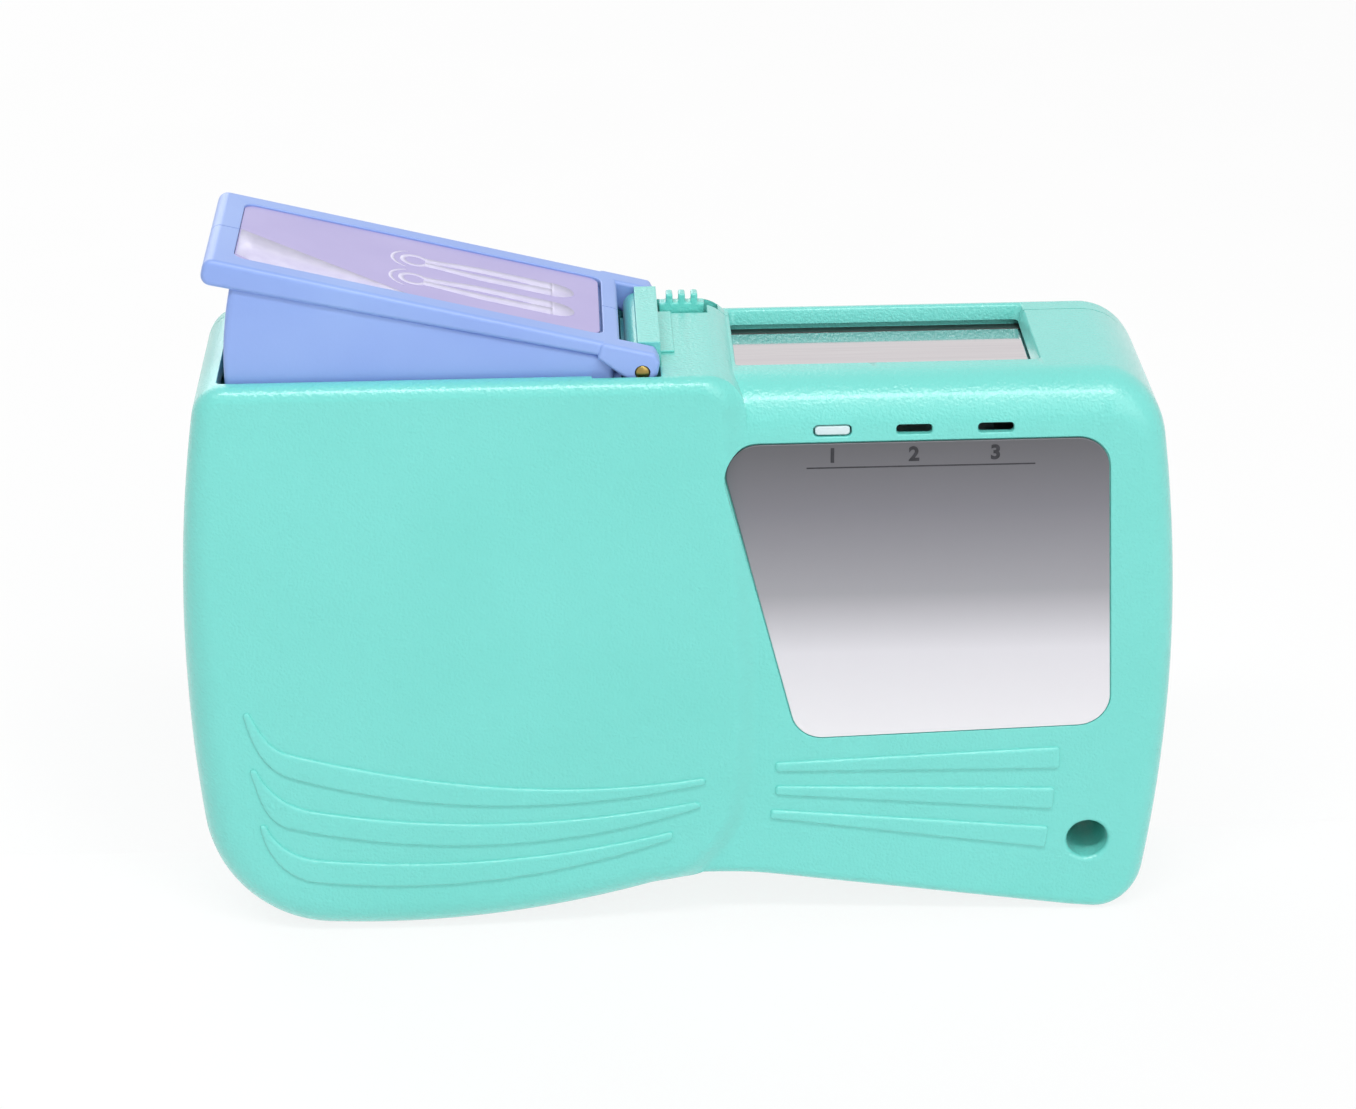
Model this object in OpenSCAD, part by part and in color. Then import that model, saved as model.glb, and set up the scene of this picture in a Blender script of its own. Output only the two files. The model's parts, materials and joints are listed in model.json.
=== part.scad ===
// Hand-held reel cleaner for optical connectors.
// A moulded casing holds a tape cartridge. Pressing the lever slides a metal
// shutter clear of the wiping plate and winds fresh tape from reel to reel.
// X runs along the casing, Y from the front face to the back, Z up.
// The origin is the middle of the casing's footprint.

/* [Casing] */
// Overall width
body_w = 130; // [122:1:138]
// Overall depth, front face to back
body_d = 32; // [31:0.5:34]
// Height over the lever side
tall_h = 79.8; // [79:0.1:81]
// Height over the window side
body_h = 78; // [77.4:0.1:78.6]
// Wall thickness
wall = 2; // [1.6:0.1:2.2]
// Radius of the gentle bow of both sides
side_r = 220; // [180:5:300]
// Height at which the casing is widest
waist_z = 38; // [34:1:42]
// Radius of the rounded belly under the lever side
belly_r = 127; // [115:1:140]
// Distance of the belly's lowest line left of the middle
belly_x = 40; // [36:1:42]
// How far the window side lies behind the lever side
step_d = 1.6; // [1:0.1:2]
// Edge radius along the sides and the bottom of the lever side
edge_r = 5; // [4:0.5:6]
// Edge radius along the top front of the window side
brow_r = 6; // [5:0.5:6.5]
// Edge radius all round the back
rear_r = 3; // [2.2:0.1:3.5]
// Distance of the parting line in front of the back
cover_d = 4.5; // [4:0.1:4.6]
// Gap between mating casing halves
seam = 0.15; // [0.1:0.05:0.2]

/* [Window] */
// Length of the cleaning window as a share of the casing's half width
window_share = 0.575; // [0.54:0.005:0.585]
// Left end of the window from the middle
window_x = 7.6; // [7.4:0.1:8.2]
// Front edge of the window from the middle plane
window_front = 5.9; // [5:0.1:6.4]
// Wall left behind the window
window_wall = 3; // [2.8:0.1:3.2]
// Width of the sloped rim at the window's right end
window_slope = 2; // [1:0.1:2.4]
// Width of the sloped rim at the window's back
back_slope = 0.6; // [0.3:0.1:1.7]

/* [Lever] */
// Hinge pin radius
pin_r = 0.95; // [0.8:0.05:1]
// Hinge pin centre left of the middle
pin_x = 4.6; // [4.4:0.1:4.8]
// Hinge pin centre above the lever side's top
pin_up = 0.4; // [0.3:0.1:0.6]
// Radius of the lever's ears and of the hinge barrel
ear_r = 2; // [1.8:0.1:2.1]
// Distance of the wedge's left end in from the casing's widest point
wedge_end = 7.6; // [7.4:0.1:9]
// Distance of the wedge's sides in from the casing's front and back
wedge_inset = 3.4; // [3.4:0.1:3.8]
// How far the rim stands proud of the wedge
rim_out = 0.6; // [0.4:0.1:0.6]
// Lever wall thickness
lever_wall = 1.2; // [1:0.1:1.3]
// Angle of the raised lever
lever_tilt = 14; // [13.6:0.1:14.4]
// Travel of the lever from raised to pressed
lever_travel = 13.2; // [12:0.1:13.4]

/* [Drive] */
// Swing of the drive crank for a full press
crank_swing = 64; // [60:1:66]
// Length of the crank's short driven arm
short_arm = 13; // [12.5:0.1:13.5]
// Clearance of the crank's long arm under the shutter's guide
arm_gap = 1.3; // [1:0.1:2.2]
// Number of ratchet teeth
ratchet_teeth = 24; // [18:1:30]
// Radius over the ratchet's tooth tips
ratchet_r = 11; // [10:0.5:11.5]
// Depth of the ratchet's teeth
tooth_d = 1.4; // [1:0.1:1.8]

/* [Cartridge] */
// Thickness drawn for the tape
tape_t = 0.25; // [0.2:0.05:0.3]
// Cartridge radius for each mm of the casing's half width
case_by_width = 0.234; // [0.22:0.002:0.24]
// Cartridge radius for each mm of the window side's height
case_by_height = 0.145; // [0.14:0.001:0.148]
// Full supply roll as a share of its flange's radius
supply_fill = 0.74; // [0.6:0.02:0.8]
// Part-wound take-up roll as a share of its flange's radius
takeup_fill = 0.57; // [0.5:0.01:0.7]
// Radius of the reels' hubs
hub_r = 6; // [5:0.5:7]
// Radius of the guide pins
guide_r = 2; // [1.6:0.1:2.2]

/* [Strap hole] */
// Radius of the strap hole
strap_r = 2.75; // [2.5:0.05:3]
// Wall round the strap hole
strap_wall = 1.6; // [1.2:0.1:1.8]

/* [Hidden] */

// Fit and finish values
over = 1;          // overrun of every cut
pin_fit = 0.05;    // radial running clearance of pins
shaft_fit = 0.08;  // radial running clearance of reel shafts
slip = 0.3;        // clearance between faces that pass each other
touch = 0.05;      // clearance of parts that seat on each other
round_fn = 48;
small_fn = 24;
corner_n = 6;      // points on a tight corner of an outline
flat_n = 3;        // points on a gentle stretch of an outline

// Casing, derived
half_w = body_w / 2;
half_d = body_d / 2;
rib_h = 0.4;                        // height of the moulded grip ribs
bulge_front = -half_d + rib_h;      // front plane of the lever side
base_front = bulge_front + step_d;  // front plane of the window side
bulge_back = half_d;
base_back = half_d - rib_h;
part_y = half_d - cover_d;          // parting plane of the casing
ledge_r = 2;                        // edge radius of the lever side's top and step
base_edge_r = 3;                    // edge radius of the window side
toe_r = 16;                         // corner radius at the belly's left end
crown_r = 4.2;                      // corner radius at the top left
shoulder_r = 8.4;                   // corner radius at the top right
heel_r = 6;                         // corner radius at the bottom right
hump_r = 5;                         // drop from the lever side to the window side
hump_x = 3.4;                       // where the drop begins
waist_out = 10.3;                   // the step's furthest reach to the right
ramp_top = 6.9;                     // height where the sloping bottom begins
ramp_x = 8;                         // its place from the middle
ramp_angle = 8.4;                   // its slope

// Half width of the casing at height z, and the lean of its side there
function bow(z) = half_w - pow(z - waist_z, 2) / (2 * side_r);
function lean(z) = atan((z - waist_z) / side_r);
// Height of the belly at x, and its slope there
function belly(x) = pow(x + belly_x, 2) / (2 * belly_r);
function belly_slope(x) = atan((x + belly_x) / belly_r);

// A knot is [x, z, heading, edge radius]. A span leaves p at its heading and
// reaches q at its own, as a circular arc where the two allow one.
function arm_share(turn) = turn < 2 ? 1 / 3 : 2 / 3 * tan(turn / 4) / sin(turn / 2);
function span(p, q, n) = let (
    chord = norm([q[0] - p[0], q[1] - p[1]]),
    turn = abs((q[2] - p[2] + 540) % 360 - 180),
    arm = arm_share(turn) * chord,
    a = [p[0] + arm * cos(p[2]), p[1] + arm * sin(p[2])],
    b = [q[0] - arm * cos(q[2]), q[1] - arm * sin(q[2])])
    [for (i = [0 : n - 1]) let (t = i / n, s = 1 - t)
        [for (k = [0, 1]) s * s * s * p[k] + 3 * s * s * t * a[k] + 3 * s * t * t * b[k] + t * t * t * q[k],
            p[3] + (q[3] - p[3]) * t]];
// A closed outline through knots that each carry their span's point count
function outline(knots) = [for (i = [0 : len(knots) - 1])
    each span(knots[i], knots[(i + 1) % len(knots)], knots[i][4])];
// An open path through knots, with its last point
function path(knots) = [for (i = [0 : len(knots) - 2]) each span(knots[i], knots[i + 1], knots[i][4]),
    knots[len(knots) - 1]];
function flat(points) = [for (p = points) [p[0], p[1]]];
function reverse(list) = [for (i = [len(list) - 1 : -1 : 0]) list[i]];

toe_z = toe_r + 0.5;
crown_z = tall_h - crown_r;
shoulder_z = body_h - shoulder_r;
// Clockwise outline of the lever side, seen from the front
bulge_knots = [
    [-belly_x, 0, 180, edge_r, 2],
    [-bow(toe_z) + toe_r, belly(-bow(toe_z) + toe_r), 180 + belly_slope(-bow(toe_z) + toe_r), edge_r,
        corner_n + 4],
    [-bow(toe_z), toe_z, 90 - lean(toe_z), edge_r, flat_n],
    [-half_w, waist_z, 90, edge_r, flat_n + 2],
    [-bow(crown_z), crown_z, 90 - lean(crown_z), ledge_r + 1, corner_n],
    [-bow(crown_z) + crown_r, tall_h, 0, ledge_r, 4],
    [hump_x, tall_h, 0, ledge_r, corner_n],
    [hump_x + hump_r, tall_h - hump_r, -86, ledge_r, flat_n],
    [waist_out, waist_z - 4, -90, ledge_r, flat_n],
    [waist_out - 0.9, ramp_top + 12, -99, ledge_r, corner_n],
    [ramp_x - 4, ramp_top + 1.6, -135, base_edge_r, 4],
    [-ramp_x / 2, belly(-ramp_x / 2), 180 + belly_slope(-ramp_x / 2), edge_r, flat_n + 3]];
bulge_outline = outline(bulge_knots);
bulge_mid = [-half_w * 0.42, waist_z];

heel_in = 9;                        // lowest point in from the right side
heel_x = half_w - heel_in;
tuck_x = 12;
// Clockwise outline of the window side, which runs on hidden inside the lever side
base_knots = [
    [heel_x, 0, 180 - ramp_angle / 2, base_edge_r, 2],
    [heel_x - 5, ramp_top - (heel_x - 5 - ramp_x) * tan(ramp_angle), 180 - ramp_angle, base_edge_r, flat_n],
    [ramp_x, ramp_top, 180 - ramp_angle, base_edge_r, flat_n],
    [-tuck_x * 0.8, ramp_top * 2.3, 120, base_edge_r, 2],
    [-tuck_x, waist_z, 90, base_edge_r, 2],
    [-tuck_x * 0.6, body_h - 5, 50, brow_r, 2],
    [0, body_h, 0, brow_r, 4],
    [half_w - 10.6, body_h, 0, brow_r, corner_n + 2],
    [bow(shoulder_z), shoulder_z, -90 + lean(shoulder_z), base_edge_r + 0.5, flat_n + 1],
    [half_w, waist_z, -90, base_edge_r, flat_n],
    [bow(heel_r), heel_r, -90 + lean(heel_r), base_edge_r, corner_n]];
base_outline = outline(base_knots);
base_mid = [half_w * 0.4, waist_z];

// Inset of an edge of radius r at depth d below its face
function fillet(r, d) = d >= r ? 0 : r - sqrt(r * r - (r - d) * (r - d));
// Outward direction of point i of a clockwise outline
function outward(points, i) = let (
    n = len(points),
    t = points[(i + 1) % n] - points[(i + n - 1) % n],
    l = norm([t[0], t[1]]))
    [-t[1] / l, t[0] / l];
// One ring at y: every point drawn in by the skin and by its own fillet at depth d
function ring(points, y, skin, d) = [for (i = [0 : len(points) - 1]) let (
    o = outward(points, i),
    inset = skin + fillet(max(points[i][2] - skin, over / 2), d))
    [points[i][0] - o[0] * inset, y, points[i][1] - o[1] * inset]];
// Solid through rings of equal count, closed by a fan from the middle at each end
module loft(rings, mid) {
    n = len(rings[0]);
    m = len(rings);
    polyhedron(
        points = concat([for (r = rings) each r],
            [[mid[0], rings[0][0][1], mid[1]], [mid[0], rings[m - 1][0][1], mid[1]]]),
        faces = concat(
            [for (k = [0 : m - 2], i = [0 : n - 1]) let (a = k * n + i, b = k * n + (i + 1) % n)
                each [[a, a + n, b + n], [a, b + n, b]]],
            [for (i = [0 : n - 1]) [m * n, i, (i + 1) % n]],
            [for (i = [0 : n - 1]) [m * n + 1, (m - 1) * n + (i + 1) % n, (m - 1) * n + i]]));
}
depth_shares = [0, 0.06, 0.22, 0.5, 1];
// Front part of a casing half: face at front, carried straight back to end
module front_form(points, mid, front, skin, end, r_big) {
    loft(concat(
        [for (s = depth_shares) ring(points, front + skin + s * (r_big - skin), skin, s * (r_big - skin))],
        [ring(points, end, skin, r_big)]), mid);
}
rear_shares = [1, 0.5, 0.2, 0.05, 0];
// Back part of a casing half: from start, closed at back with one edge radius
module rear_form(points, mid, start, skin, back) {
    even = [for (p = points) [p[0], p[1], rear_r]];
    loft(concat(
        [ring(even, start, skin, rear_r)],
        [for (s = rear_shares) ring(even, back - skin - s * (rear_r - skin), skin, s * (rear_r - skin))]),
            mid);
}

// A flat drawing in X and Z, carried from y0 back to y1
module along_y(y0, y1) {
    translate([0, y1, 0]) rotate([90, 0, 0]) linear_extrude(y1 - y0) children();
}
// A round bar or bore along Y
module rod(x, z, r, y0, y1, fn = round_fn) {
    translate([x, y1, z]) rotate([90, 0, 0]) cylinder(r = r, h = y1 - y0, $fn = fn);
}
// A block between two corners
module block(low, high) {
    translate(low) cube(high - low);
}
// A flat bar with round ends between two places
module bar(p, q, w) {
    len_pq = norm(q - p);
    translate(p) rotate(atan2(q[1] - p[1], q[0] - p[0])) {
        translate([0, -w / 2]) square([len_pq, w]);
        circle(d = w, $fn = small_fn);
        translate([len_pq, 0]) circle(d = w, $fn = small_fn);
    }
}

// Lever and hinge, derived
pin_c = [-pin_x, tall_h + pin_up];
wedge_r = half_w - pin_x - wedge_end;
wedge_half = half_d - wedge_inset;
rim_half = wedge_half + rim_out;
ear_w = 3.2;                        // length of each ear along the pin
ear_out = rim_half + 0.3;           // outer face of the ears
ear_in = ear_out - ear_w;
rim_top = 2.75;                     // rim above the pin, square to the tray
lip_drop = 0.8;                     // lip below the pin line
rim_near = 4.6;                     // where the rim's underside begins
rim_near_up = 0.8;
lip_r = 1.3;                        // rounding of the lip
lip_out = 3.8;                      // reach of the lip past the wedge
tray_t = lever_wall;
label_d = 0.55;                     // depth of the label's recess
label_near = 5.8;                   // label from the pin
label_side = 2.9;                   // plain border beside the label
label_far = wedge_r + 0.2;
label_half = wedge_half - label_side;
label_t = 0.3;
bar_near = 1.6;                     // right end of the lever's cross bar
wedge_low = 3;                      // wedge below the pin at rest
wedge_near = 3.6;
well_gap = 0.4;                     // gap round the wedge
well_right = 7;
notch_l = 6.4;                      // notches for the ears, left of the pin
barrel_gap = 0.35;
block_left = 0.5;                   // upright of the hinge block from the pin
block_right = 2.4;
block_up = 2.8;
block_sink = 1.6;
block_half = ear_in - slip;
foot_l = 1.9;
foot_h = 0.3;
foot_half = 0.7 * block_half;
foot_shift = 0.12 * block_half;

// Drive layers from front to back
// The leg is a little thinner than the lever's front wall that carries it
leg_y = [-wedge_half + touch, -wedge_half + lever_wall - touch];
crank_y = [leg_y[1] + 0.45, leg_y[1] + 1.65];
ratchet_y = [crank_y[1] + 0.4, crank_y[1] + 1.6];
chassis_y = [ratchet_y[1] + 0.4, ratchet_y[1] + 1.4];
case_y = [chassis_y[1] + 0.4, chassis_y[1] + 1.4];
lid_t = 1;
lid_y = [wedge_half - lid_t, wedge_half];
reel_y = [case_y[1] + slip, lid_y[0] - slip];
flange_t = 0.7;
roll_y = [reel_y[0] + flange_t + slip, reel_y[1] - slip];

// The reels stand side by side a little above the floor. The guide pins'
// places are shares of the half width and height.
case_wall = 1.2;
flange_gap = 1.1;                   // flange to the cartridge's wall
case_r = case_by_width * half_w + case_by_height * body_h;
case_up = [8, 7.5];                 // lowest points of the cartridge's two round ends
takeup_c = [-0.369 * half_w, case_r + case_up[0]];
supply_c = [0.446 * half_w, case_r + case_up[1]];
guide_shares = [[0.0077, 0.91], [0.785, 0.91]];
function placed(s) = [s[0] * half_w, s[1] * body_h];
guide_c = [for (s = guide_shares) placed(s)];
flange_r = case_r - case_wall - flange_gap;
supply_r = supply_fill * flange_r;
takeup_r = takeup_fill * flange_r;

// The shutter lies just below the wall that it closes, on its guide's rails
shutter_t = 0.4;
shutter_drop = 0.55;                // shutter below that wall
shutter_z = [body_h - wall - shutter_drop - shutter_t, body_h - wall - shutter_drop];
guide_drop = 0.15;                  // running gap under the shutter
guide_t = 0.8;
guide_top = shutter_z[0] - guide_drop;
guide_low = guide_top - guide_t;

// Crank arms lie on one line, leaning half the swing at rest
crank_w = 4.6;
long_arm = guide_low - arm_gap - crank_w / 2 - takeup_c[1];
crank_lean = crank_swing / 2;
short_dir = [-sin(crank_lean), -cos(crank_lean)];
crank_pin_c = takeup_c + short_arm * short_dir;
shutter_pin_c = takeup_c - long_arm * short_dir;
crank_pin_r = 1;
crank_hub_r = 5;
nose_r = 2.5;                       // shaft nose that the crank turns on
pawl_arm = 15.5;
pawl_ahead = 100;                   // pawl's arm ahead of the long arm
pawl_at = 90 - crank_lean + pawl_ahead;
pawl_c = takeup_c + pawl_arm * [cos(pawl_at), sin(pawl_at)];
pawl_pin_r = 0.9;
leg_w = 5.5;
leg_slot_gap = 0.35;
leg_root = [-9, -1];

// Shutter and window, derived
window_l = window_share * half_w;
window_back = half_d - window_wall;
shutter_lap = 1.6;                  // shutter past the window's right end
shutter_y = [ratchet_y[1] + 0.1, part_y - 0.4];
shutter_far = window_x + window_l + shutter_lap;
tab_w = 7;
shutter_near = shutter_pin_c[0] - tab_w / 2;
tab_y = [ratchet_y[0], ratchet_y[0] + shutter_t];
tab_slot_gap = 0.6;
// The pin rises from the end of its swing to straight above the shaft
tab_slot = [shutter_pin_c[1] - slip, takeup_c[1] + long_arm + slip];
tab_low = tab_slot[0] - crank_pin_r - tab_slot_gap - tab_w / 5;
wipe_t = 0.5;
lip_gap = 0.2;
lip_w = [0.6, 1];                   // side lips at the front and at the back

// Strap hole place
strap_in = 10.4;
strap_up = 11.1;
strap_c = [half_w - strap_in, strap_up];

// Screws that hold the chassis plate to bosses on the front shell
screw_shares = [[-0.846, 0.705], [-0.816, 0.17], [0.046, 0.18], [0.9, 0.744]];
screw_c = [for (s = screw_shares) placed(s)];
boss_r = 2.8;
screw_r = 1.1;
screw_head_r = 2.1;
screw_head_h = 0.9;
screw_l = 6;

// Name plate and its pocket
plate_t = 0.4;
plate_sink = 0.3;
plate_gap = 0.15;
plate_shares = [[0.072, 0.899], [0.846, 0.9], [0.875, 0.37], [0.237, 0.355]];
plate_r = 4.2;
module plate_shape(grow) {
    offset(r = plate_r + grow, $fn = round_fn) offset(delta = -plate_r)
        polygon([for (s = plate_shares) placed(s)]);
}

// Slots that show the type of tape
slot_shares = [[0.3, 0.921], [0.461, 0.921], [0.622, 0.921]];
slot_c = [for (s = slot_shares) placed(s)];
slot_l = 4.6;
slot_w = 1.35;
module type_slot(c, less) {
    bar(c - [slot_l / 2 - slot_w / 2, 0], c + [slot_l / 2 - slot_w / 2, 0], slot_w - 2 * less);
}

// Raised grip crescents of the lever side, top to bottom: shares of the left
// tip, the knee and the right tip, then the headings at the knee and the right tip
crescent_shares = [
    [[-0.88, 0.433], [-0.708, 0.338], [0.043, 0.292], [-13, 6]],
    [[-0.871, 0.324], [-0.692, 0.242], [0.031, 0.246], [-10, 9]],
    [[-0.857, 0.22], [-0.677, 0.149], [-0.023, 0.191], [-4, 11]]];
crescent_w = 3.4;                   // width at the knee
crescent_tip = 0.5;                 // half width at both tips
crescent_fall = -71;                // heading at the left tip
crescent_flare = 4;                 // turn of its two edges away from each other
module crescent(c) {
    left = placed(c[0]);
    knee = placed(c[1]);
    right = placed(c[2]);
    tip = [crescent_tip, crescent_tip];
    upper = path([[each left + tip, crescent_fall + crescent_flare, 0, corner_n],
        [each knee, c[3][0], 0, corner_n], [right[0], right[1] + crescent_tip, c[3][1] - crescent_flare, 0]]);
    lower = path([[each left - tip, crescent_fall - crescent_flare, 0, corner_n],
        [knee[0], knee[1] - crescent_w, c[3][0], 0, corner_n],
        [right[0], right[1] - crescent_tip, c[3][1] + crescent_flare, 0]]);
    polygon(concat(flat(upper), reverse(flat(lower))));
}
// Raised grip fan of the window side, top to bottom: shares of both ends' middles
fan_shares = [[[0.203, 0.301], [0.757, 0.308]], [[0.203, 0.256], [0.746, 0.229]],
    [[0.195, 0.209], [0.734, 0.153]]];
fan_thin = 1.4;
fan_thick = 2.9;
module fan_rib(shares) {
    f = [for (s = shares) placed(s)];
    d = (f[1] - f[0]) / norm(f[1] - f[0]);
    o = [-d[1], d[0]];
    polygon([f[0] + o * fan_thin / 2, f[1] + o * fan_thick / 2, f[1] + d * fan_thin + o * fan_thick / 3,
        f[1] + d * fan_thin - o * fan_thick / 3, f[1] - o * fan_thick / 2, f[0] - o * fan_thin / 2]);
}

// Latch, derived
latch_x = [-1.7, 4.3];
latch_travel = 1.5;
latch_back = half_d - wall - slip;
latch_top = tall_h;
keeper_x = [1, 4.5];
keeper_t = 0.7;                     // thickness of the keeper and of its gap to the seam
keeper_gap = 0.2;
keeper_y = [part_y - keeper_gap - keeper_t, part_y - keeper_gap];
tongue_out = 0.9;                   // the tongue's reach under the cover, left of the latch
tongue_w = 1.4;
tongue_t = 1;
tongue_x = latch_x[0] - tongue_out;
tongue_y = keeper_y[0] - slip;
tongue_z = [tall_h - wall - 1.5 * tongue_t, tall_h - wall - 0.5 * tongue_t];
ridge_n = 3;
ridge_h = 1.3;
ridge_w = 0.9;
ridge_pitch = 1.65;
ramp_y = part_y - 3.5;
ramp_drop = 1.6;
hook_x = [-belly_x, half_w - 17];
hook_w = 6;
hook_reach = 1.9;
hook_t = 1.1;
cover_rib_r = 12;
function inner_floor(x) = wall + (x < 0 ? belly(x) : ramp_top - (x - ramp_x) * tan(ramp_angle));

// The window's cut with its sloped right end and back, cut by both halves
module window_cut() {
    hull() {
        block([window_x, -window_front, body_h - wall - over],
            [window_x + window_l, window_back, body_h - wall]);
        block([window_x, -window_front, body_h + wall],
            [window_x + window_l + 2 * window_slope, window_back + 2 * back_slope, body_h + wall + over]);
    }
}
// The well for the lever's wedge, with notches for the ears and the block
module well_cut() {
    block([-pin_x - wedge_r - well_gap - 0.6, -wedge_half - well_gap, waist_z * 1.8],
        [-well_right, wedge_half + well_gap, tall_h + over]);
    for (s = [-1, 1]) {
        near = s < 0 ? -ear_out - slip : ear_in - slip;
        far = s < 0 ? -ear_in + slip : ear_out + slip;
        block([pin_c[0] - notch_l, near, tall_h - wall - over],
            [pin_c[0] + ear_r + slip, far, tall_h + over]);
    }
    block([-well_right - touch, -block_half - touch, tall_h + pin_up - block_sink],
        [pin_c[0] + block_right + touch, block_half + touch, tall_h + over]);
}

module front_shell() color("#6fdcc8") {
    difference() {
        union() {
            front_form(bulge_outline, bulge_mid, bulge_front, 0, part_y - seam / 2, edge_r);
            front_form(base_outline, base_mid, base_front, 0, part_y - seam / 2, brow_r);
        }
        difference() {
            union() {
                front_form(bulge_outline, bulge_mid, bulge_front, wall, part_y + over, edge_r);
                front_form(base_outline, base_mid, base_front, wall, part_y + over, brow_r);
            }
            for (c = screw_c)
                rod(c[0], c[1], boss_r, bulge_front, chassis_y[0]);
            rod(strap_c[0], strap_c[1], strap_r + strap_wall, base_front, part_y + 2 * over);
            block([keeper_x[0], keeper_y[0], tongue_z[0]], [keeper_x[1], keeper_y[1], tall_h]);
        }
        window_cut();
        well_cut();
        // Ramp in front of the latch
        translate([latch_x[0] - slip, 0, 0]) rotate([90, 0, 90])
            linear_extrude(latch_x[1] - latch_x[0] + 2 * slip)
            polygon([[ramp_y, tall_h], [part_y + over, tall_h - ramp_drop], [part_y + over, tall_h + over],
                [ramp_y, tall_h + over]]);
        rod(strap_c[0], strap_c[1], strap_r, -half_d, half_d);
        for (c = screw_c)
            rod(c[0], c[1], screw_r - 0.1, chassis_y[0] - screw_l, chassis_y[0] + over, small_fn);
        along_y(-half_d - over, base_front + plate_sink) plate_shape(plate_gap);
        for (c = slot_c)
            along_y(-half_d, base_front + wall + over) type_slot(c, 0);
    }
    for (c = crescent_shares)
        along_y(-half_d, bulge_front + touch) crescent(c);
    for (f = fan_shares)
        along_y(base_front - rib_h, base_front + touch) fan_rib(f);
}

module rear_cover() color("#6ad8c4") difference() {
    union() {
        difference() {
            union() {
                rear_form(bulge_outline, bulge_mid, part_y + seam / 2, 0, bulge_back);
                rear_form(base_outline, base_mid, part_y + seam / 2, 0, base_back);
            }
            rear_form(bulge_outline, bulge_mid, part_y - over, wall, bulge_back);
            rear_form(base_outline, base_mid, part_y - over, wall, base_back);
        }
        // Hooks that hold the cover's foot inside the front shell
        for (x = hook_x) {
            low = max(inner_floor(x - hook_w / 2), inner_floor(x + hook_w / 2));
            block([x - hook_w / 2, part_y + seam, low - wall / 2],
                [x + hook_w / 2, base_back - wall / 2, low + slip + hook_t]);
            block([x - hook_w / 2, part_y - hook_reach, low + slip],
                [x + hook_w / 2, part_y + wall, low + slip + hook_t]);
        }
        rod(strap_c[0], strap_c[1], strap_r + strap_wall, part_y + seam / 2, base_back - wall / 2);
        // Round ribs that steady the cartridge's lid
        for (c = [takeup_c, supply_c])
            along_y(lid_y[1] + 0.2, base_back - wall / 2) translate(c) difference() {
                circle(r = cover_rib_r, $fn = round_fn);
                circle(r = cover_rib_r - wall, $fn = round_fn);
            }
    }
    window_cut();
    well_cut();
    rod(strap_c[0], strap_c[1], strap_r, -half_d, half_d + over);
    // Slot for the latch
    block([latch_x[0] - slip, part_y - over, tongue_z[0] - touch],
        [latch_x[1] + latch_travel + slip, latch_back + slip, tall_h + over]);
}

module name_plate() color("#c9c9d2")
    along_y(base_front + plate_sink - plate_t, base_front + plate_sink) plate_shape(0);

module type_indicator() color("#dbe6f4")
    along_y(base_front + 0.15, base_front + wall + over) type_slot(slot_c[0], touch);

module hinge_block() color("#7fe0cb") difference() {
    union() {
        along_y(-block_half, block_half) {
            translate(pin_c) circle(r = ear_r, $fn = round_fn);
            translate([pin_c[0] - block_left, pin_c[1] - block_sink])
                square([block_left + block_right, block_sink + block_up]);
        }
        block([pin_c[0] + block_right - touch, foot_shift - foot_half, tall_h],
            [pin_c[0] + block_right + foot_l, foot_shift + foot_half, tall_h + foot_h]);
    }
    rod(pin_c[0], pin_c[1], pin_r + pin_fit, -half_d, half_d);
    // Flat underside that seats in the casing's pocket
    block([-half_w, -half_d, 0], [0, half_d, tall_h + pin_up - block_sink]);
    // Room for the return spring
    rod(pin_c[0], pin_c[1], spring_room_r, -spring_half, spring_half);
    block([pin_c[0] - ear_r - over, -spring_half, 0], [pin_c[0], spring_half, pin_c[1]]);
}

module hinge_pin() color("#b9a35e")
    rod(pin_c[0], pin_c[1], pin_r, -ear_out, ear_out);

// Return spring: an unbroken wire wound round the pin inside the block
wire_r = 0.2;
coil_r = pin_r + 0.45;
coil_turns = 5;
coil_pitch = 1;
coil_steps = 12;
wire_sides = 6;
spring_half = coil_turns * coil_pitch / 2 + 0.5;
spring_room_r = coil_r + wire_r + 0.15;
function coil_point(i) = let (a = 360 * i / coil_steps)
    [coil_r * cos(a), (i / coil_steps - coil_turns / 2) * coil_pitch, coil_r * sin(a)];
echo(return_spring_self_gap = coil_pitch - 2 * wire_r);
module return_spring() color("#b8b8b4") {
    n = coil_turns * coil_steps;
    points = [for (i = [0 : n]) let (c = coil_point(i), a = 360 * i / coil_steps)
        for (k = [0 : wire_sides - 1]) let (b = 360 * k / wire_sides)
            [pin_c[0], 0, pin_c[1]] + c + wire_r * [cos(b) * cos(a), sin(b), cos(b) * sin(a)]];
    polyhedron(points = points, faces = concat(
        [for (i = [0 : n - 1], k = [0 : wire_sides - 1]) let (
            a = i * wire_sides + k, b = i * wire_sides + (k + 1) % wire_sides)
            each [[a, b, b + wire_sides], [a, b + wire_sides, a + wire_sides]]],
        [[for (k = [wire_sides - 1 : -1 : 0]) k]],
        [[for (k = [0 : wire_sides - 1]) n * wire_sides + k]]));
}

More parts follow.
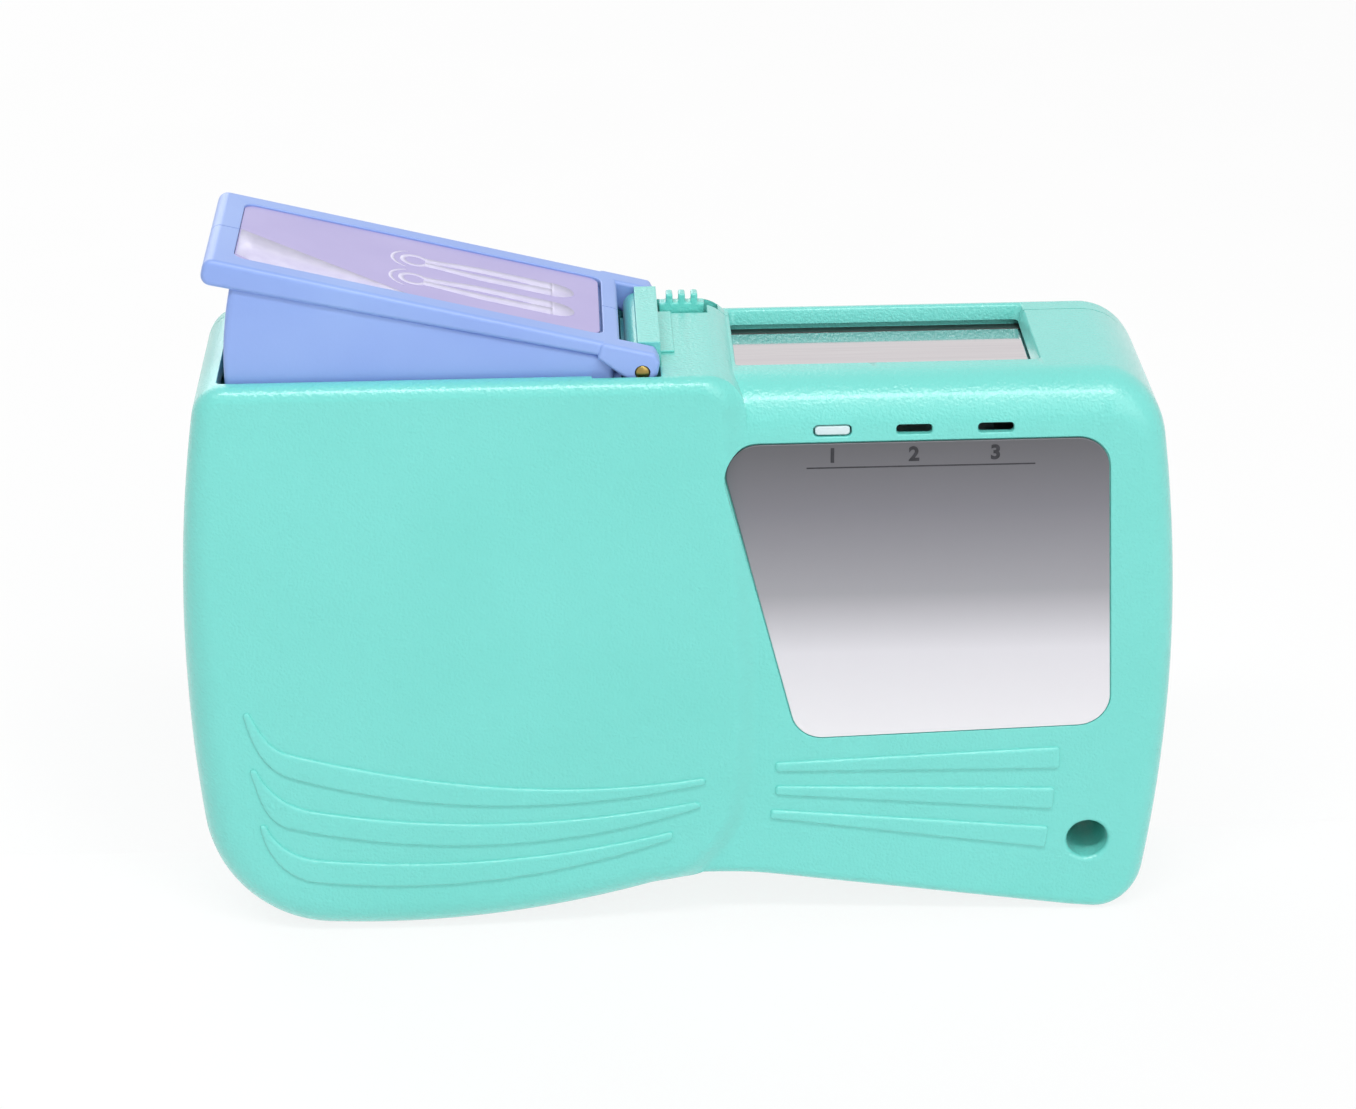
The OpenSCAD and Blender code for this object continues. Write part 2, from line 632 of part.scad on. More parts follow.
// The lever's frame: origin at the pin, tray along -X, raised by its tilt
module raised() {
    translate([pin_c[0], 0, pin_c[1]]) rotate([0, lever_tilt, 0]) children();
}
module rim_shape() {
    far = wedge_r + lip_out;
    polygon([[-bar_near, rim_top], [-rim_near, rim_near_up], [-far + lip_r, -lip_drop],
        [-far, lip_r - lip_drop],
        [-far, rim_top - lip_r], [-far + lip_r, rim_top]]);
    translate([-far + lip_r, rim_top - lip_r]) circle(r = lip_r, $fn = small_fn);
    translate([-far + lip_r, lip_r - lip_drop]) circle(r = lip_r, $fn = small_fn);
}
module ear_shape() {
    circle(r = ear_r, $fn = round_fn);
    polygon([[-rim_near * 2, rim_top], [-rim_near * 2, rim_near_up - 0.2], [-ear_r / 2, -ear_r * 0.7],
        [ear_r - 0.3, 0], [ear_r - 0.3, rim_top - 0.8], [ear_r - 1.2, rim_top]]);
}
// The wedge's side seen from the front, at rest, measured from the pin
module wedge_shape() {
    intersection() {
        circle(r = wedge_r, $fn = 2 * round_fn);
        polygon([[-wedge_near, -wedge_low], [-half_w, -wedge_low],
            [-half_w, half_w * tan(lever_tilt) + rim_near_up], [-wedge_near, rim_near_up + 1]]);
    }
}
module whole_lever() {
    difference() {
        union() {
            raised() {
                along_y(-rim_half, rim_half) rim_shape();
                for (y = [-ear_out, ear_in])
                    along_y(y, y + ear_w) ear_shape();
            }
            translate([pin_c[0], 0, pin_c[1]]) along_y(-wedge_half, wedge_half) wedge_shape();
        }
        raised() {
            // Recess for the label
            block([-label_far - touch, -label_half - touch, rim_top - label_d],
                [-label_near + touch, label_half + touch, rim_top + over]);
            // Hollow under the tray, whose left end follows the wedge's curve
            intersection() {
                rod(0, 0, wedge_r - lever_wall, -wedge_half + lever_wall, wedge_half - lever_wall,
                    2 * round_fn);
                block([-wedge_r, -half_d, -wedge_r], [-rim_near - lever_wall, half_d,
                    rim_top - label_d - tray_t]);
            }
            // Room for the hinge barrel between the ears
            block([-bar_near, -ear_in, -wedge_low * 2], [ear_r + over, ear_in, rim_top + over]);
            rod(0, 0, ear_r + barrel_gap, -ear_in, ear_in);
            rod(0, 0, pin_r + pin_fit, -half_d, half_d);
        }
    }
}
// The leg hangs from the front wall and drives the crank by a slot
leg_end = crank_pin_c - pin_c;
leg_dir = leg_end / norm(leg_end);
// Place of the crank pin at the end of the stroke, in the frame of the leg
crank_end = takeup_c + short_arm * [-short_dir[0], short_dir[1]] - pin_c;
slot_end = [crank_end[0] * cos(lever_travel) + crank_end[1] * sin(lever_travel),
    crank_end[1] * cos(lever_travel) - crank_end[0] * sin(lever_travel)];
module drive_leg() {
    translate([pin_c[0], 0, pin_c[1]]) along_y(leg_y[0], leg_y[1]) difference() {
        bar(leg_root, leg_end + leg_dir * 2.2, leg_w);
        bar(leg_end + leg_dir * 0.6, slot_end, 2 * (crank_pin_r + leg_slot_gap));
    }
}
module lever_front_half() color("#9fb8ef") {
    intersection() {
        whole_lever();
        block([-body_w, -body_d, 0], [body_w, -touch / 2, 2 * body_h]);
    }
    drive_leg();
}
module lever_rear_half() color("#9fb8ef") intersection() {
    whole_lever();
    block([-body_w, touch / 2, 0], [body_w, body_d, 2 * body_h]);
}
module lever_label() color("#bcb4e6") raised()
    block([-label_far, -label_half, rim_top - label_d],
        [-label_near, label_half, rim_top - label_d + label_t]);

module latch_slider() color("#74dcc8") {
    block([latch_x[0], part_y + slip, tongue_z[0]], [latch_x[1], latch_back, latch_top]);
    mid = (latch_x[0] + latch_x[1]) / 2;
    for (i = [0 : ridge_n - 1]) {
        x = mid + (i - (ridge_n - 1) / 2) * ridge_pitch;
        block([x - ridge_w / 2, part_y + slip, latch_top],
            [x + ridge_w / 2, latch_back, latch_top + ridge_h]);
    }
    // Arm and hook that reach past the keeper
    block([tongue_x, tongue_y - tongue_t, tongue_z[0]], [tongue_x + tongue_w, latch_back, tongue_z[1]]);
    block([tongue_x, tongue_y - tongue_t, tongue_z[0]], [keeper_x[0] - 2 * slip, tongue_y, tongue_z[1]]);
}

module shutter() color("#d5d3d6") {
    block([shutter_near, shutter_y[0], shutter_z[0]], [shutter_far, shutter_y[1], shutter_z[1]]);
    block([shutter_near, tab_y[0], shutter_z[0]], [shutter_near + tab_w, shutter_y[0] + touch, shutter_z[1]]);
    along_y(tab_y[0], tab_y[1]) difference() {
        translate([shutter_near, tab_low]) square([tab_w, shutter_z[1] - tab_low]);
        bar([shutter_pin_c[0], tab_slot[0]], [shutter_pin_c[0], tab_slot[1]],
            2 * (crank_pin_r + tab_slot_gap));
    }
}

module shutter_pin() color("#9a9a98")
    rod(shutter_pin_c[0], shutter_pin_c[1], crank_pin_r, crank_y[0], tab_y[1] + 0.2, small_fn);

rail_w = 1.6;
guide_x = [shutter_near - (shutter_far - shutter_near) * 0.74, shutter_far + slip];
module shutter_guide() color("#3d4743") difference() {
    union() {
        // Front and back rails under the shutter, joined at the ends
        block([guide_x[0], shutter_y[0], guide_low], [guide_x[1], shutter_y[0] + rail_w, guide_top]);
        block([guide_x[0], shutter_y[1] - rail_w, guide_low], [guide_x[1], shutter_y[1], guide_top]);
        block([guide_x[0], shutter_y[0], guide_low], [guide_x[0] + 2 * rail_w, shutter_y[1], guide_top]);
        block([window_x - rail_w, shutter_y[0], guide_low], [window_x + over, shutter_y[1], guide_top]);
        block([window_x + window_l, shutter_y[0], guide_low],
            [guide_x[1], shutter_y[1] + lip_gap + lip_w[1], guide_top]);
        // Side lips that keep the shutter in line
        front = shutter_y[0] - lip_gap;
        back = shutter_y[1] + lip_gap;
        block([0, front - lip_w[0], guide_low], [guide_x[1], front, shutter_z[1]]);
        block([0, front - lip_w[0], guide_low], [guide_x[1], shutter_y[0] + touch, guide_low + guide_t / 2]);
        block([0, back, guide_low], [guide_x[1], back + lip_w[1], shutter_z[1]]);
        block([0, shutter_y[1] - touch, guide_low], [guide_x[1], back + lip_w[1], guide_low + guide_t / 2]);
    }
}

// Wiping plate with its two keyhole slots
key_l = 24;
key_w = 2.6;
key_eye_r = 2.6;
key_from = 7;
key_apart = 7;
wipe_lap = 1.2;
module wiping_plate() color("#c9c9cb") difference() {
    block([window_x - wipe_lap, shutter_y[0] + rail_w + touch, guide_low - wipe_t - touch],
        [window_x + window_l + wipe_lap, shutter_y[1] - rail_w - touch, guide_low]);
    for (y = (shutter_y[0] + shutter_y[1]) / 2 + [-0.5, 0.5] * key_apart)
        translate([window_x + key_from, y, guide_low - 2 * wipe_t]) linear_extrude(2 * wipe_t + over) {
            circle(r = key_eye_r, $fn = round_fn);
            bar([0, 0], [key_l, 0], key_w);
        }
}

// Frame of flat bars, with three uprights that carry the shutter's guide
upright_w = 8;
upright_x = [guide_x[0] + upright_w, window_x - upright_w / 2, window_x + window_l - upright_w / 2];
brace_w = 1.5 * boss_r;
module chassis_plate() color("#8f9694") difference() {
    along_y(chassis_y[0], chassis_y[1]) {
        for (c = screw_c)
            translate(c) circle(r = boss_r + wall / 3, $fn = round_fn);
        bar(screw_c[0], screw_c[3], 2 * boss_r);
        bar(screw_c[1], screw_c[2], 2 * boss_r);
        bar(screw_c[2], screw_c[3], 2 * boss_r);
        bar(screw_c[0], takeup_c, 2 * brace_w);
        bar(screw_c[1], takeup_c, 2 * brace_w);
        bar(takeup_c, screw_c[3], 2 * brace_w);
        translate(takeup_c) circle(r = ratchet_r, $fn = round_fn);
        for (x = upright_x)
            translate([x, screw_c[0][1]]) square([upright_w, guide_low - screw_c[0][1]]);
    }
    rod(takeup_c[0], takeup_c[1], shaft_r + shaft_fit, -half_d, half_d);
    for (c = screw_c)
        rod(c[0], c[1], screw_r + 0.1, -half_d, half_d, small_fn);
}

module chassis_screws() color("#a7a7a2")
    for (c = screw_c) {
        rod(c[0], c[1], screw_head_r, chassis_y[1], chassis_y[1] + screw_head_h, small_fn);
        rod(c[0], c[1], screw_r - 0.15, chassis_y[0] - screw_l + over, chassis_y[1] + touch, small_fn);
    }

module drive_crank() color("#e0e0da") difference() {
    along_y(crank_y[0], crank_y[1]) {
        bar(crank_pin_c, shutter_pin_c, crank_w);
        translate(takeup_c) circle(r = crank_hub_r, $fn = round_fn);
        bar(takeup_c, pawl_c, crank_w);
    }
    rod(takeup_c[0], takeup_c[1], nose_r + pin_fit, -half_d, half_d);
    rod(crank_pin_c[0], crank_pin_c[1], crank_pin_r, -half_d, half_d, small_fn);
    rod(shutter_pin_c[0], shutter_pin_c[1], crank_pin_r, -half_d, half_d, small_fn);
    rod(pawl_c[0], pawl_c[1], pawl_pin_r, -half_d, half_d, small_fn);
}
module crank_pin() color("#9a9a98")
    rod(crank_pin_c[0], crank_pin_c[1], crank_pin_r, leg_y[0] - 0.2, crank_y[1], small_fn);
module pawl_pivot() color("#9a9a98")
    rod(pawl_c[0], pawl_c[1], pawl_pin_r, crank_y[0], ratchet_y[1], small_fn);

// The pawl's tip lies in a tooth space, against the steep face it pushes
pitch_a = 360 / ratchet_teeth;
pawl_span = 2 * pitch_a;
face_a = pawl_at + pawl_span;
tip_back = 2;      // degrees from the steep face to the tip
tip_wide = 4;      // degrees covered by the tip
pawl_w = 2.4;
pawl_wall = 1.1;   // metal round the pawl's pivot
function polar(r, a) = takeup_c + r * [cos(a), sin(a)];
// Radius just above the tooth's slope, some degrees short of the steep face
function above_slope(back) = ratchet_r - tooth_d * (1 - back / pitch_a) + slip;
module drive_pawl() color("#c7b36a") difference() {
    along_y(ratchet_y[0], ratchet_y[1]) {
        translate(pawl_c) circle(r = pawl_pin_r + pawl_wall, $fn = small_fn);
        polygon([polar(pawl_arm - pawl_w / 2, pawl_at), polar(pawl_arm + pawl_w / 2, pawl_at),
            polar(ratchet_r + 1.6 * pawl_w, face_a - 3 * tip_wide),
                polar(ratchet_r + pawl_w / 2, face_a - tip_back),
            polar(above_slope(tip_back), face_a - tip_back),
            polar(above_slope(tip_back + tip_wide), face_a - tip_back - tip_wide),
            polar(ratchet_r + slip, face_a - 3 * tip_wide)]);
    }
    rod(pawl_c[0], pawl_c[1], pawl_pin_r + pin_fit, -half_d, half_d, small_fn);
}

shaft_r = 3;
tail_r = 2.5;
module ratchet_wheel() color("#d9cf9a") difference() {
    along_y(ratchet_y[0], ratchet_y[1])
        polygon([for (k = [0 : ratchet_teeth - 1]) let (a = face_a + k * pitch_a)
            each [polar(ratchet_r - tooth_d, a), polar(ratchet_r, a)]]);
    rod(takeup_c[0], takeup_c[1], shaft_r, -half_d, half_d);
}

// A reel: hub, one pierced flange and its bore or journal
web_n = 5;
module reel_form(c) {
    rod(c[0], c[1], hub_r, reel_y[0], reel_y[1]);
    difference() {
        rod(c[0], c[1], flange_r, reel_y[0], reel_y[0] + flange_t, 2 * round_fn);
        for (k = [0 : web_n - 1])
            rod(c[0] + (hub_r + flange_r) / 2 * cos(k * 360 / web_n),
                c[1] + (hub_r + flange_r) / 2 * sin(k * 360 / web_n),
                (flange_r - hub_r) / 3, reel_y[0] - over, reel_y[0] + flange_t + over, small_fn);
    }
}
module takeup_reel() color("#eceae2") {
    reel_form(takeup_c);
    rod(takeup_c[0], takeup_c[1], nose_r, crank_y[0], ratchet_y[0] + touch);
    rod(takeup_c[0], takeup_c[1], shaft_r, ratchet_y[0], reel_y[0] + touch);
    rod(takeup_c[0], takeup_c[1], tail_r, reel_y[1] - touch, lid_y[1]);
}
module supply_reel() color("#eceae2") difference() {
    reel_form(supply_c);
    rod(supply_c[0], supply_c[1], shaft_r + shaft_fit, -half_d, half_d);
}
module roll_form(c, r) {
    difference() {
        rod(c[0], c[1], r, roll_y[0], roll_y[1], 2 * round_fn);
        rod(c[0], c[1], hub_r, roll_y[0] - over, roll_y[1] + over);
    }
}
module takeup_roll() color("#f2efe9") roll_form(takeup_c, takeup_r);
module supply_roll() color("#f6f4ef") roll_form(supply_c, supply_r);

// A leaf with a felt pad that drags on a reel's flange
brake_w = 4;
leaf_l = 6;
leaf_t = 0.2;
felt_l = 3.2;
felt_gap = 0.1;
module brake_form(c, a) {
    room = case_r - case_wall - flange_r - slip;
    along_y(case_y[1], case_y[1] + brake_w) translate(c) rotate(a) {
        translate([flange_r + room - leaf_t, -leaf_l / 2]) square([leaf_t, leaf_l]);
        translate([flange_r + felt_gap, -felt_l / 2]) square([room - felt_gap, felt_l]);
    }
}
module takeup_brake() color("#b08f5a") brake_form(takeup_c, 240);
module supply_brake() color("#b08f5a") brake_form(supply_c, 300);

// Cartridge: a tray round both reels, with lugs for the guide pins
lug_r = guide_r + 0.3;
lug_drop = 8;
bridge_drop = 4.5;                    // top of the case below the guide pins
module case_shape() {
    for (c = [takeup_c, supply_c])
        translate(c) circle(r = case_r, $fn = 2 * round_fn);
    polygon([[takeup_c[0], takeup_c[1] - case_r / 2], [supply_c[0], supply_c[1] - case_r / 2],
        [supply_c[0] + case_r * 0.9, supply_c[1] + case_r * 0.4],
            [guide_c[1][0] + lug_r, guide_c[1][1] - bridge_drop],
        [guide_c[0][0] - lug_r, guide_c[0][1] - bridge_drop], [takeup_c[0], takeup_c[1] + case_r / 2]]);
}
module lugs() {
    for (g = guide_c)
        bar(g - [0, lug_drop], g, 2 * lug_r);
}
module cartridge_case() color("#dfe6e6") difference() {
    union() {
        along_y(case_y[0], case_y[1]) {
            case_shape();
            lugs();
        }
        along_y(case_y[1] - touch, lid_y[0]) difference() {
            case_shape();
            offset(delta = -case_wall) case_shape();
        }
        rod(supply_c[0], supply_c[1], shaft_r, case_y[0], lid_y[0]);
    }
    rod(takeup_c[0], takeup_c[1], shaft_r + shaft_fit, -half_d, half_d);
    // Ways out for the tape on both sides
    block([takeup_c[0] - over, roll_y[0] - slip, takeup_c[1]],
        [guide_c[0][0] + lug_r + over, lid_y[0] + over, guide_c[0][1]]);
    block([guide_c[1][0] - 2 * lug_r, roll_y[0] - slip, supply_c[1]],
        [supply_c[0] + case_r + over, lid_y[0] + over, guide_c[1][1]]);
}
module cartridge_lid() color("#e9eeee") difference() {
    along_y(lid_y[0], lid_y[1]) case_shape();
    rod(takeup_c[0], takeup_c[1], tail_r + shaft_fit, -half_d, half_d);
}
module guide_pins() color("#b9bcc0")
    for (g = guide_c)
        rod(g[0], g[1], guide_r, case_y[1], roll_y[1] + slip, small_fn);

// The tape leaves the supply roll on its right, passes over both guide pins
// and reaches the take-up roll on its upper left
tape_gap = 0.3;
function arc(c, r, a0, a1, n) = [for (i = [0 : n]) let (a = a0 + (a1 - a0) * i / n) c + r * [cos(a), sin(a)]];
// Direction, from both centres, of the outer line that touches two circles
function touch_angle(c1, r1, c2, r2, side) = let (d = c2 - c1)
    atan2(d[1], d[0]) + side * acos((r1 - r2) / norm(d));
supply_a = touch_angle(supply_c, supply_r + tape_gap, guide_c[1], guide_r + touch, -1);
takeup_a = touch_angle(guide_c[0], guide_r + touch, takeup_c, takeup_r + tape_gap, -1);
function tape_line(t) = concat(
    arc(supply_c, supply_r + tape_gap + t, supply_a - 20, supply_a, 3),
    arc(guide_c[1], guide_r + touch + t, supply_a, 90, 7),
    arc(guide_c[0], guide_r + touch + t, 90, takeup_a + 360, 5),
    arc(takeup_c, takeup_r + tape_gap + t, takeup_a + 360, takeup_a + 380, 3));
module tape_run() color("#f4f2ee") along_y(roll_y[0], roll_y[1])
    polygon(concat(tape_line(tape_t), reverse(tape_line(0))));

pad_in = 3;                         // pad short of the window's ends
pad_t = 2.2;
pad_x = [window_x + pad_in, window_x + window_l - pad_in];
pad_top = guide_c[0][1] + guide_r;
module backing_pad() color("#3c4a63")
    block([pad_x[0], roll_y[0] + slip, pad_top - pad_t], [pad_x[1], roll_y[1] - slip, pad_top - touch]);
module pad_carrier() color("#c8d0d2")
    block([pad_x[0] - wall / 2, case_y[1], guide_c[0][1] - bridge_drop],
        [pad_x[1] + wall / 2, roll_y[1], pad_top - pad_t]);

clip_t = 0.3;
module reel_circlip() color("#8a8c8e") difference() {
    rod(takeup_c[0], takeup_c[1], shaft_r + 1, ratchet_y[1] + touch, ratchet_y[1] + touch + clip_t);
    rod(takeup_c[0], takeup_c[1], shaft_r, -half_d, half_d);
}

front_shell();
rear_cover();
name_plate();
type_indicator();
hinge_block();
hinge_pin();
return_spring();
lever_front_half();
lever_rear_half();
lever_label();
latch_slider();
shutter();
shutter_pin();
shutter_guide();
wiping_plate();
chassis_plate();
chassis_screws();
drive_crank();
crank_pin();
drive_pawl();
pawl_pivot();
ratchet_wheel();
takeup_reel();
takeup_roll();
takeup_brake();
supply_reel();
supply_roll();
supply_brake();
cartridge_case();
cartridge_lid();
guide_pins();
tape_run();
backing_pad();
pad_carrier();
reel_circlip();
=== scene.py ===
"""Looks of a hand-held reel cleaner for optical connectors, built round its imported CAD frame.

Lengths are in millimetres of the CAD model and turn to metres when a mesh is made. X runs along
the casing, Y from the front face to the back, Z up. An outline is an array of points in X and Z,
clockwise as the photo shows it; one that is called flat lies in X and Y instead.
"""

import json
import math
from contextlib import contextmanager

import bmesh
import bpy
import numpy as np
from mathutils import Matrix, Vector


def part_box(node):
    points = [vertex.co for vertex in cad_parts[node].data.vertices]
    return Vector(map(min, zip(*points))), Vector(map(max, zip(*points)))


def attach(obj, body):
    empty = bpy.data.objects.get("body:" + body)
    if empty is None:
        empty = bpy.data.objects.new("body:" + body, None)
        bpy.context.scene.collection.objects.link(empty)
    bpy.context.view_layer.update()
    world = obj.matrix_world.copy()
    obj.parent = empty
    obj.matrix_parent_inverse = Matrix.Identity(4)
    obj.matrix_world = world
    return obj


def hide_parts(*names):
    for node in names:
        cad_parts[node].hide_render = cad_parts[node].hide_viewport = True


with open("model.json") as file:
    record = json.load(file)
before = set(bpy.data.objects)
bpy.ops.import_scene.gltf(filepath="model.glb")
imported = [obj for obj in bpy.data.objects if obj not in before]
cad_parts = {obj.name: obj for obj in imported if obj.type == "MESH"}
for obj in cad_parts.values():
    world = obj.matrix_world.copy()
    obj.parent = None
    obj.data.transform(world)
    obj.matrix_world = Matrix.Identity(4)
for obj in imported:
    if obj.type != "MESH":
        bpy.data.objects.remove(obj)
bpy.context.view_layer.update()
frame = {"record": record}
MM = 0.001

# Driving sizes, as the CAD source has them
BODY_W, BODY_D, TALL_H, BODY_H, WALL = 130.0, 32.0, 79.8, 78.0, 2.0
SIDE_R, WAIST_Z, BELLY_R, BELLY_X, STEP_D = 220.0, 38.0, 127.0, 40.0, 1.6
EDGE_R, BROW_R, REAR_R, COVER_D, SEAM, RIB_H = 5.0, 6.0, 3.0, 4.5, 0.15, 0.4
HALF_W, HALF_D = BODY_W / 2, BODY_D / 2
BULGE_FRONT = -HALF_D + RIB_H
BASE_FRONT = BULGE_FRONT + STEP_D
BULGE_BACK, BASE_BACK = HALF_D, HALF_D - RIB_H
PART_Y = HALF_D - COVER_D


# Meshes

def new_object(name, data):
    """A new object, linked to the scene."""
    made = bpy.data.objects.new(name, data)
    bpy.context.scene.collection.objects.link(made)
    return made


def evaluated(piece):
    """A mesh of the object as its modifiers leave it."""
    bpy.context.view_layer.update()
    return bpy.data.meshes.new_from_object(piece.evaluated_get(bpy.context.evaluated_depsgraph_get()))


@contextmanager
def editing(piece):
    """The piece's mesh, opened for changes and written back after them."""
    b = bmesh.new()
    b.from_mesh(piece.data)
    yield b
    b.to_mesh(piece.data)
    b.free()


def mesh_piece(name, points, faces):
    """A mesh object in metres from an array of points in millimetres and a list of faces."""
    mesh = bpy.data.meshes.new(name)
    mesh.from_pydata((np.asarray(points, float).reshape(-1, 3) * MM).tolist(), [], faces)
    mesh.validate()
    mesh.polygons.foreach_set("use_smooth", [True] * len(mesh.polygons))
    return new_object(name, mesh)


def grid_faces(rows, cols, wrap=True):
    """Quads between neighbouring rows of a grid, whose columns close on themselves where wrap is set."""
    r, c = np.meshgrid(np.arange(rows - 1), np.arange(cols if wrap else cols - 1), indexing="ij")
    n = (c + 1) % cols
    corners = [r * cols + c, r * cols + n, (r + 1) * cols + n, (r + 1) * cols + c]
    return np.stack(corners, -1).reshape(-1, 4).tolist()


def outward(piece):
    """Turns every face of a closed piece outwards, after near points are merged."""
    with editing(piece) as b:
        bmesh.ops.remove_doubles(b, verts=b.verts, dist=1e-7)
        bmesh.ops.recalc_face_normals(b, faces=b.faces)
    return piece


def loft(name, rings):
    """A closed skin through rings of equal count, each end closed by one flat face."""
    rings = np.asarray(rings)
    rows, cols = rings.shape[:2]
    ends = [list(range(cols)), list(range((rows - 1) * cols, rows * cols))]
    return outward(mesh_piece(name, rings, grid_faces(rows, cols) + ends))


def lathe(name, profile, centre, count=64, drift=0.0):
    """A profile of radius and depth turned about a line along Y through the centre. Where the radius
    is nil the surface closes in a pole. Over the turn the radius falls evenly by the drift."""
    a = np.linspace(0, 2 * math.pi, count, endpoint=False)[None, :]
    r = profile[:, :1] - drift * a / (2 * math.pi)
    points = np.stack([centre[0] + r * np.cos(a), profile[:, 1:2] + 0 * a, centre[1] + r * np.sin(a)], -1)
    return outward(mesh_piece(name, points, grid_faces(len(profile), count)))


def solve(piece, tools, operation="DIFFERENCE"):
    """Carves, unites or crosses a piece with tools by exact Booleans, and removes the tools."""
    for tool in tools:
        step = piece.modifiers.new("step", "BOOLEAN")
        step.solver, step.operation, step.object = "EXACT", operation, tool
    done = evaluated(piece)
    piece.modifiers.clear()
    piece.data = done
    for tool in tools:
        bpy.data.objects.remove(tool)
    return piece


def join(name, parts):
    """One piece from several, whose skins stay whole."""
    whole, *rest = parts
    with editing(whole) as b:
        for part in rest:
            b.from_mesh(part.data)
    for part in rest:
        bpy.data.objects.remove(part)
    whole.name = whole.data.name = name
    return whole


def mark_edges(b, angle):
    """Makes all faces smooth, and edges past an angle in degrees sharp."""
    for e in b.edges:
        e.smooth = len(e.link_faces) == 2 and e.calc_face_angle(4) < math.radians(angle)
    for f in b.faces:
        f.smooth = True


def even_shading(piece):
    """Weights the normals by face area, so that flat faces look flat beside round edges."""
    piece.modifiers.new("even", "WEIGHTED_NORMAL").keep_sharp = True
    return piece


def finish_mesh(piece, sharp=32):
    """Smooth shading that keeps edges past the angle sharp and flat faces flat."""
    with editing(piece) as b:
        bmesh.ops.remove_doubles(b, verts=b.verts, dist=2e-6)
        bmesh.ops.triangulate(b, faces=[f for f in b.faces if len(f.verts) > 4])
        mark_edges(b, sharp)
    return even_shading(piece)


def softened(name, width, segments, angle=28):
    """The CAD node's own form with its edges eased: a merged copy whose edges past the angle are
    bevelled."""
    mesh = bpy.data.objects[name].data.copy()
    mesh.materials.clear()
    piece = new_object(name + "_soft", mesh)
    with editing(piece) as b:
        bmesh.ops.remove_doubles(b, verts=b.verts, dist=2e-6)
        bmesh.ops.dissolve_limit(b, angle_limit=math.radians(2), verts=b.verts, edges=b.edges)
        mark_edges(b, angle)
    ease = piece.modifiers.new("ease", "BEVEL")
    ease.width, ease.segments = width * MM, segments
    ease.limit_method, ease.angle_limit = "ANGLE", math.radians(angle)
    ease.use_clamp_overlap, ease.harden_normals = True, False
    return even_shading(piece)


def in_mm(box):
    """A node's box, its lowest and highest corners, in millimetres."""
    return np.array(box) / MM


# Outlines

def unit(rows):
    """Each row at length 1."""
    return rows / np.linalg.norm(rows, axis=-1, keepdims=True)


def toward(angle):
    """The direction of an angle in radians: its cosine and its sine."""
    return np.stack([np.cos(angle), np.sin(angle)], -1)


def travelled(line):
    """How far along a line of points each of them lies."""
    return np.r_[0, np.cumsum(np.linalg.norm(np.diff(line, axis=0), axis=1))]


def resampled(line, known, wanted):
    """Places on a line of points whose own places along it are known."""
    return np.stack([np.interp(wanted, known, line[:, k]) for k in (0, 1)], 1)


def smooth(share):
    """A smooth step: level at 0 and at 1, and 3 s squared less 2 s cubed between them."""
    share = np.clip(share, 0, 1)
    return share * share * (3 - 2 * share)


def arc(centre, radius, start, end, count):
    """Points of a circle from one angle to another, in radians."""
    return np.array(centre) + radius * toward(np.linspace(start, end, count))


def circle(centre, radius, count=64):
    """A clockwise circle: radius times the cosine and sine of an angle that falls through one turn."""
    return arc(centre, radius, 0, -2 * math.pi, count + 1)[:-1]


def capsule(a, b, radius, count=12):
    """Outline of a straight slot with round ends between the two places."""
    heading = math.atan2(b[1] - a[1], b[0] - a[0])
    ends = heading + math.pi / 2, heading - math.pi / 2, count
    return np.concatenate([arc(b, radius, *ends), arc(a, -radius, *ends)])


def rounded(corners, radius, steps=6, grow=0.0):
    """A clockwise polygon with a circular arc at each corner, grown on all sides.

    The arc's centre lies on the corner's bisector, at radius / cos(half the turn) from the corner."""
    c = np.asarray(corners, float)
    ahead = unit(np.roll(c, -1, 0) - c)
    behind = np.roll(ahead, 1, 0)
    turn = np.arctan2(behind[:, 0] * ahead[:, 1] - behind[:, 1] * ahead[:, 0], (behind * ahead).sum(1))
    side = -np.sign(turn)[:, None]
    radius = np.broadcast_to(np.asarray(radius, float), len(c))[:, None]
    centre = c + unit(ahead - behind) * radius / np.cos(turn / 2)[:, None]
    a = np.arctan2(behind[:, 0], -behind[:, 1])[:, None] + turn[:, None] * np.linspace(0, 1, steps)
    return (centre[:, None] + (side * radius + grow)[..., None] * toward(a)).reshape(-1, 2)


def rectangle(x0, x1, y0, y1, radius, steps=6, grow=0.0):
    """A clockwise rectangle with round corners."""
    return rounded([(x0, y0), (x0, y1), (x1, y1), (x1, y0)], radius, steps, grow)


def span(p, q, step=0.7):
    """Rows of a cubic from knot p to knot q, a circular arc where their headings allow one.

    A knot is [x, z, heading, edge radius, softness]. The two inner control points lie along the
    headings, at a share of the chord that makes a circle, and radius and softness change evenly."""
    chord = math.hypot(q[0] - p[0], q[1] - p[1])
    turn = math.radians(abs((q[2] - p[2] + 540) % 360 - 180))
    arm = chord * (1 / 3 if turn < 0.03 else 2 / 3 * math.tan(turn / 4) / math.sin(turn / 2))
    leave, reach = toward(np.radians([p[2], q[2]]))
    a, b = np.array(p[:2]) + arm * leave, np.array(q[:2]) - arm * reach
    t = np.linspace(0, 1, max(4, round(chord / step)), endpoint=False)[:, None]
    s = 1 - t
    place = s ** 3 * np.array(p[:2]) + 3 * s * s * t * a + 3 * s * t * t * b + t ** 3 * np.array(q[:2])
    return np.hstack([place, s * np.array(p[3:]) + t * np.array(q[3:])])


def outline(knots):
    """A closed outline through knots, as rows of x, z, edge radius and softness."""
    return np.concatenate([span(p, q) for p, q in zip(knots, knots[1:] + knots[:1])])


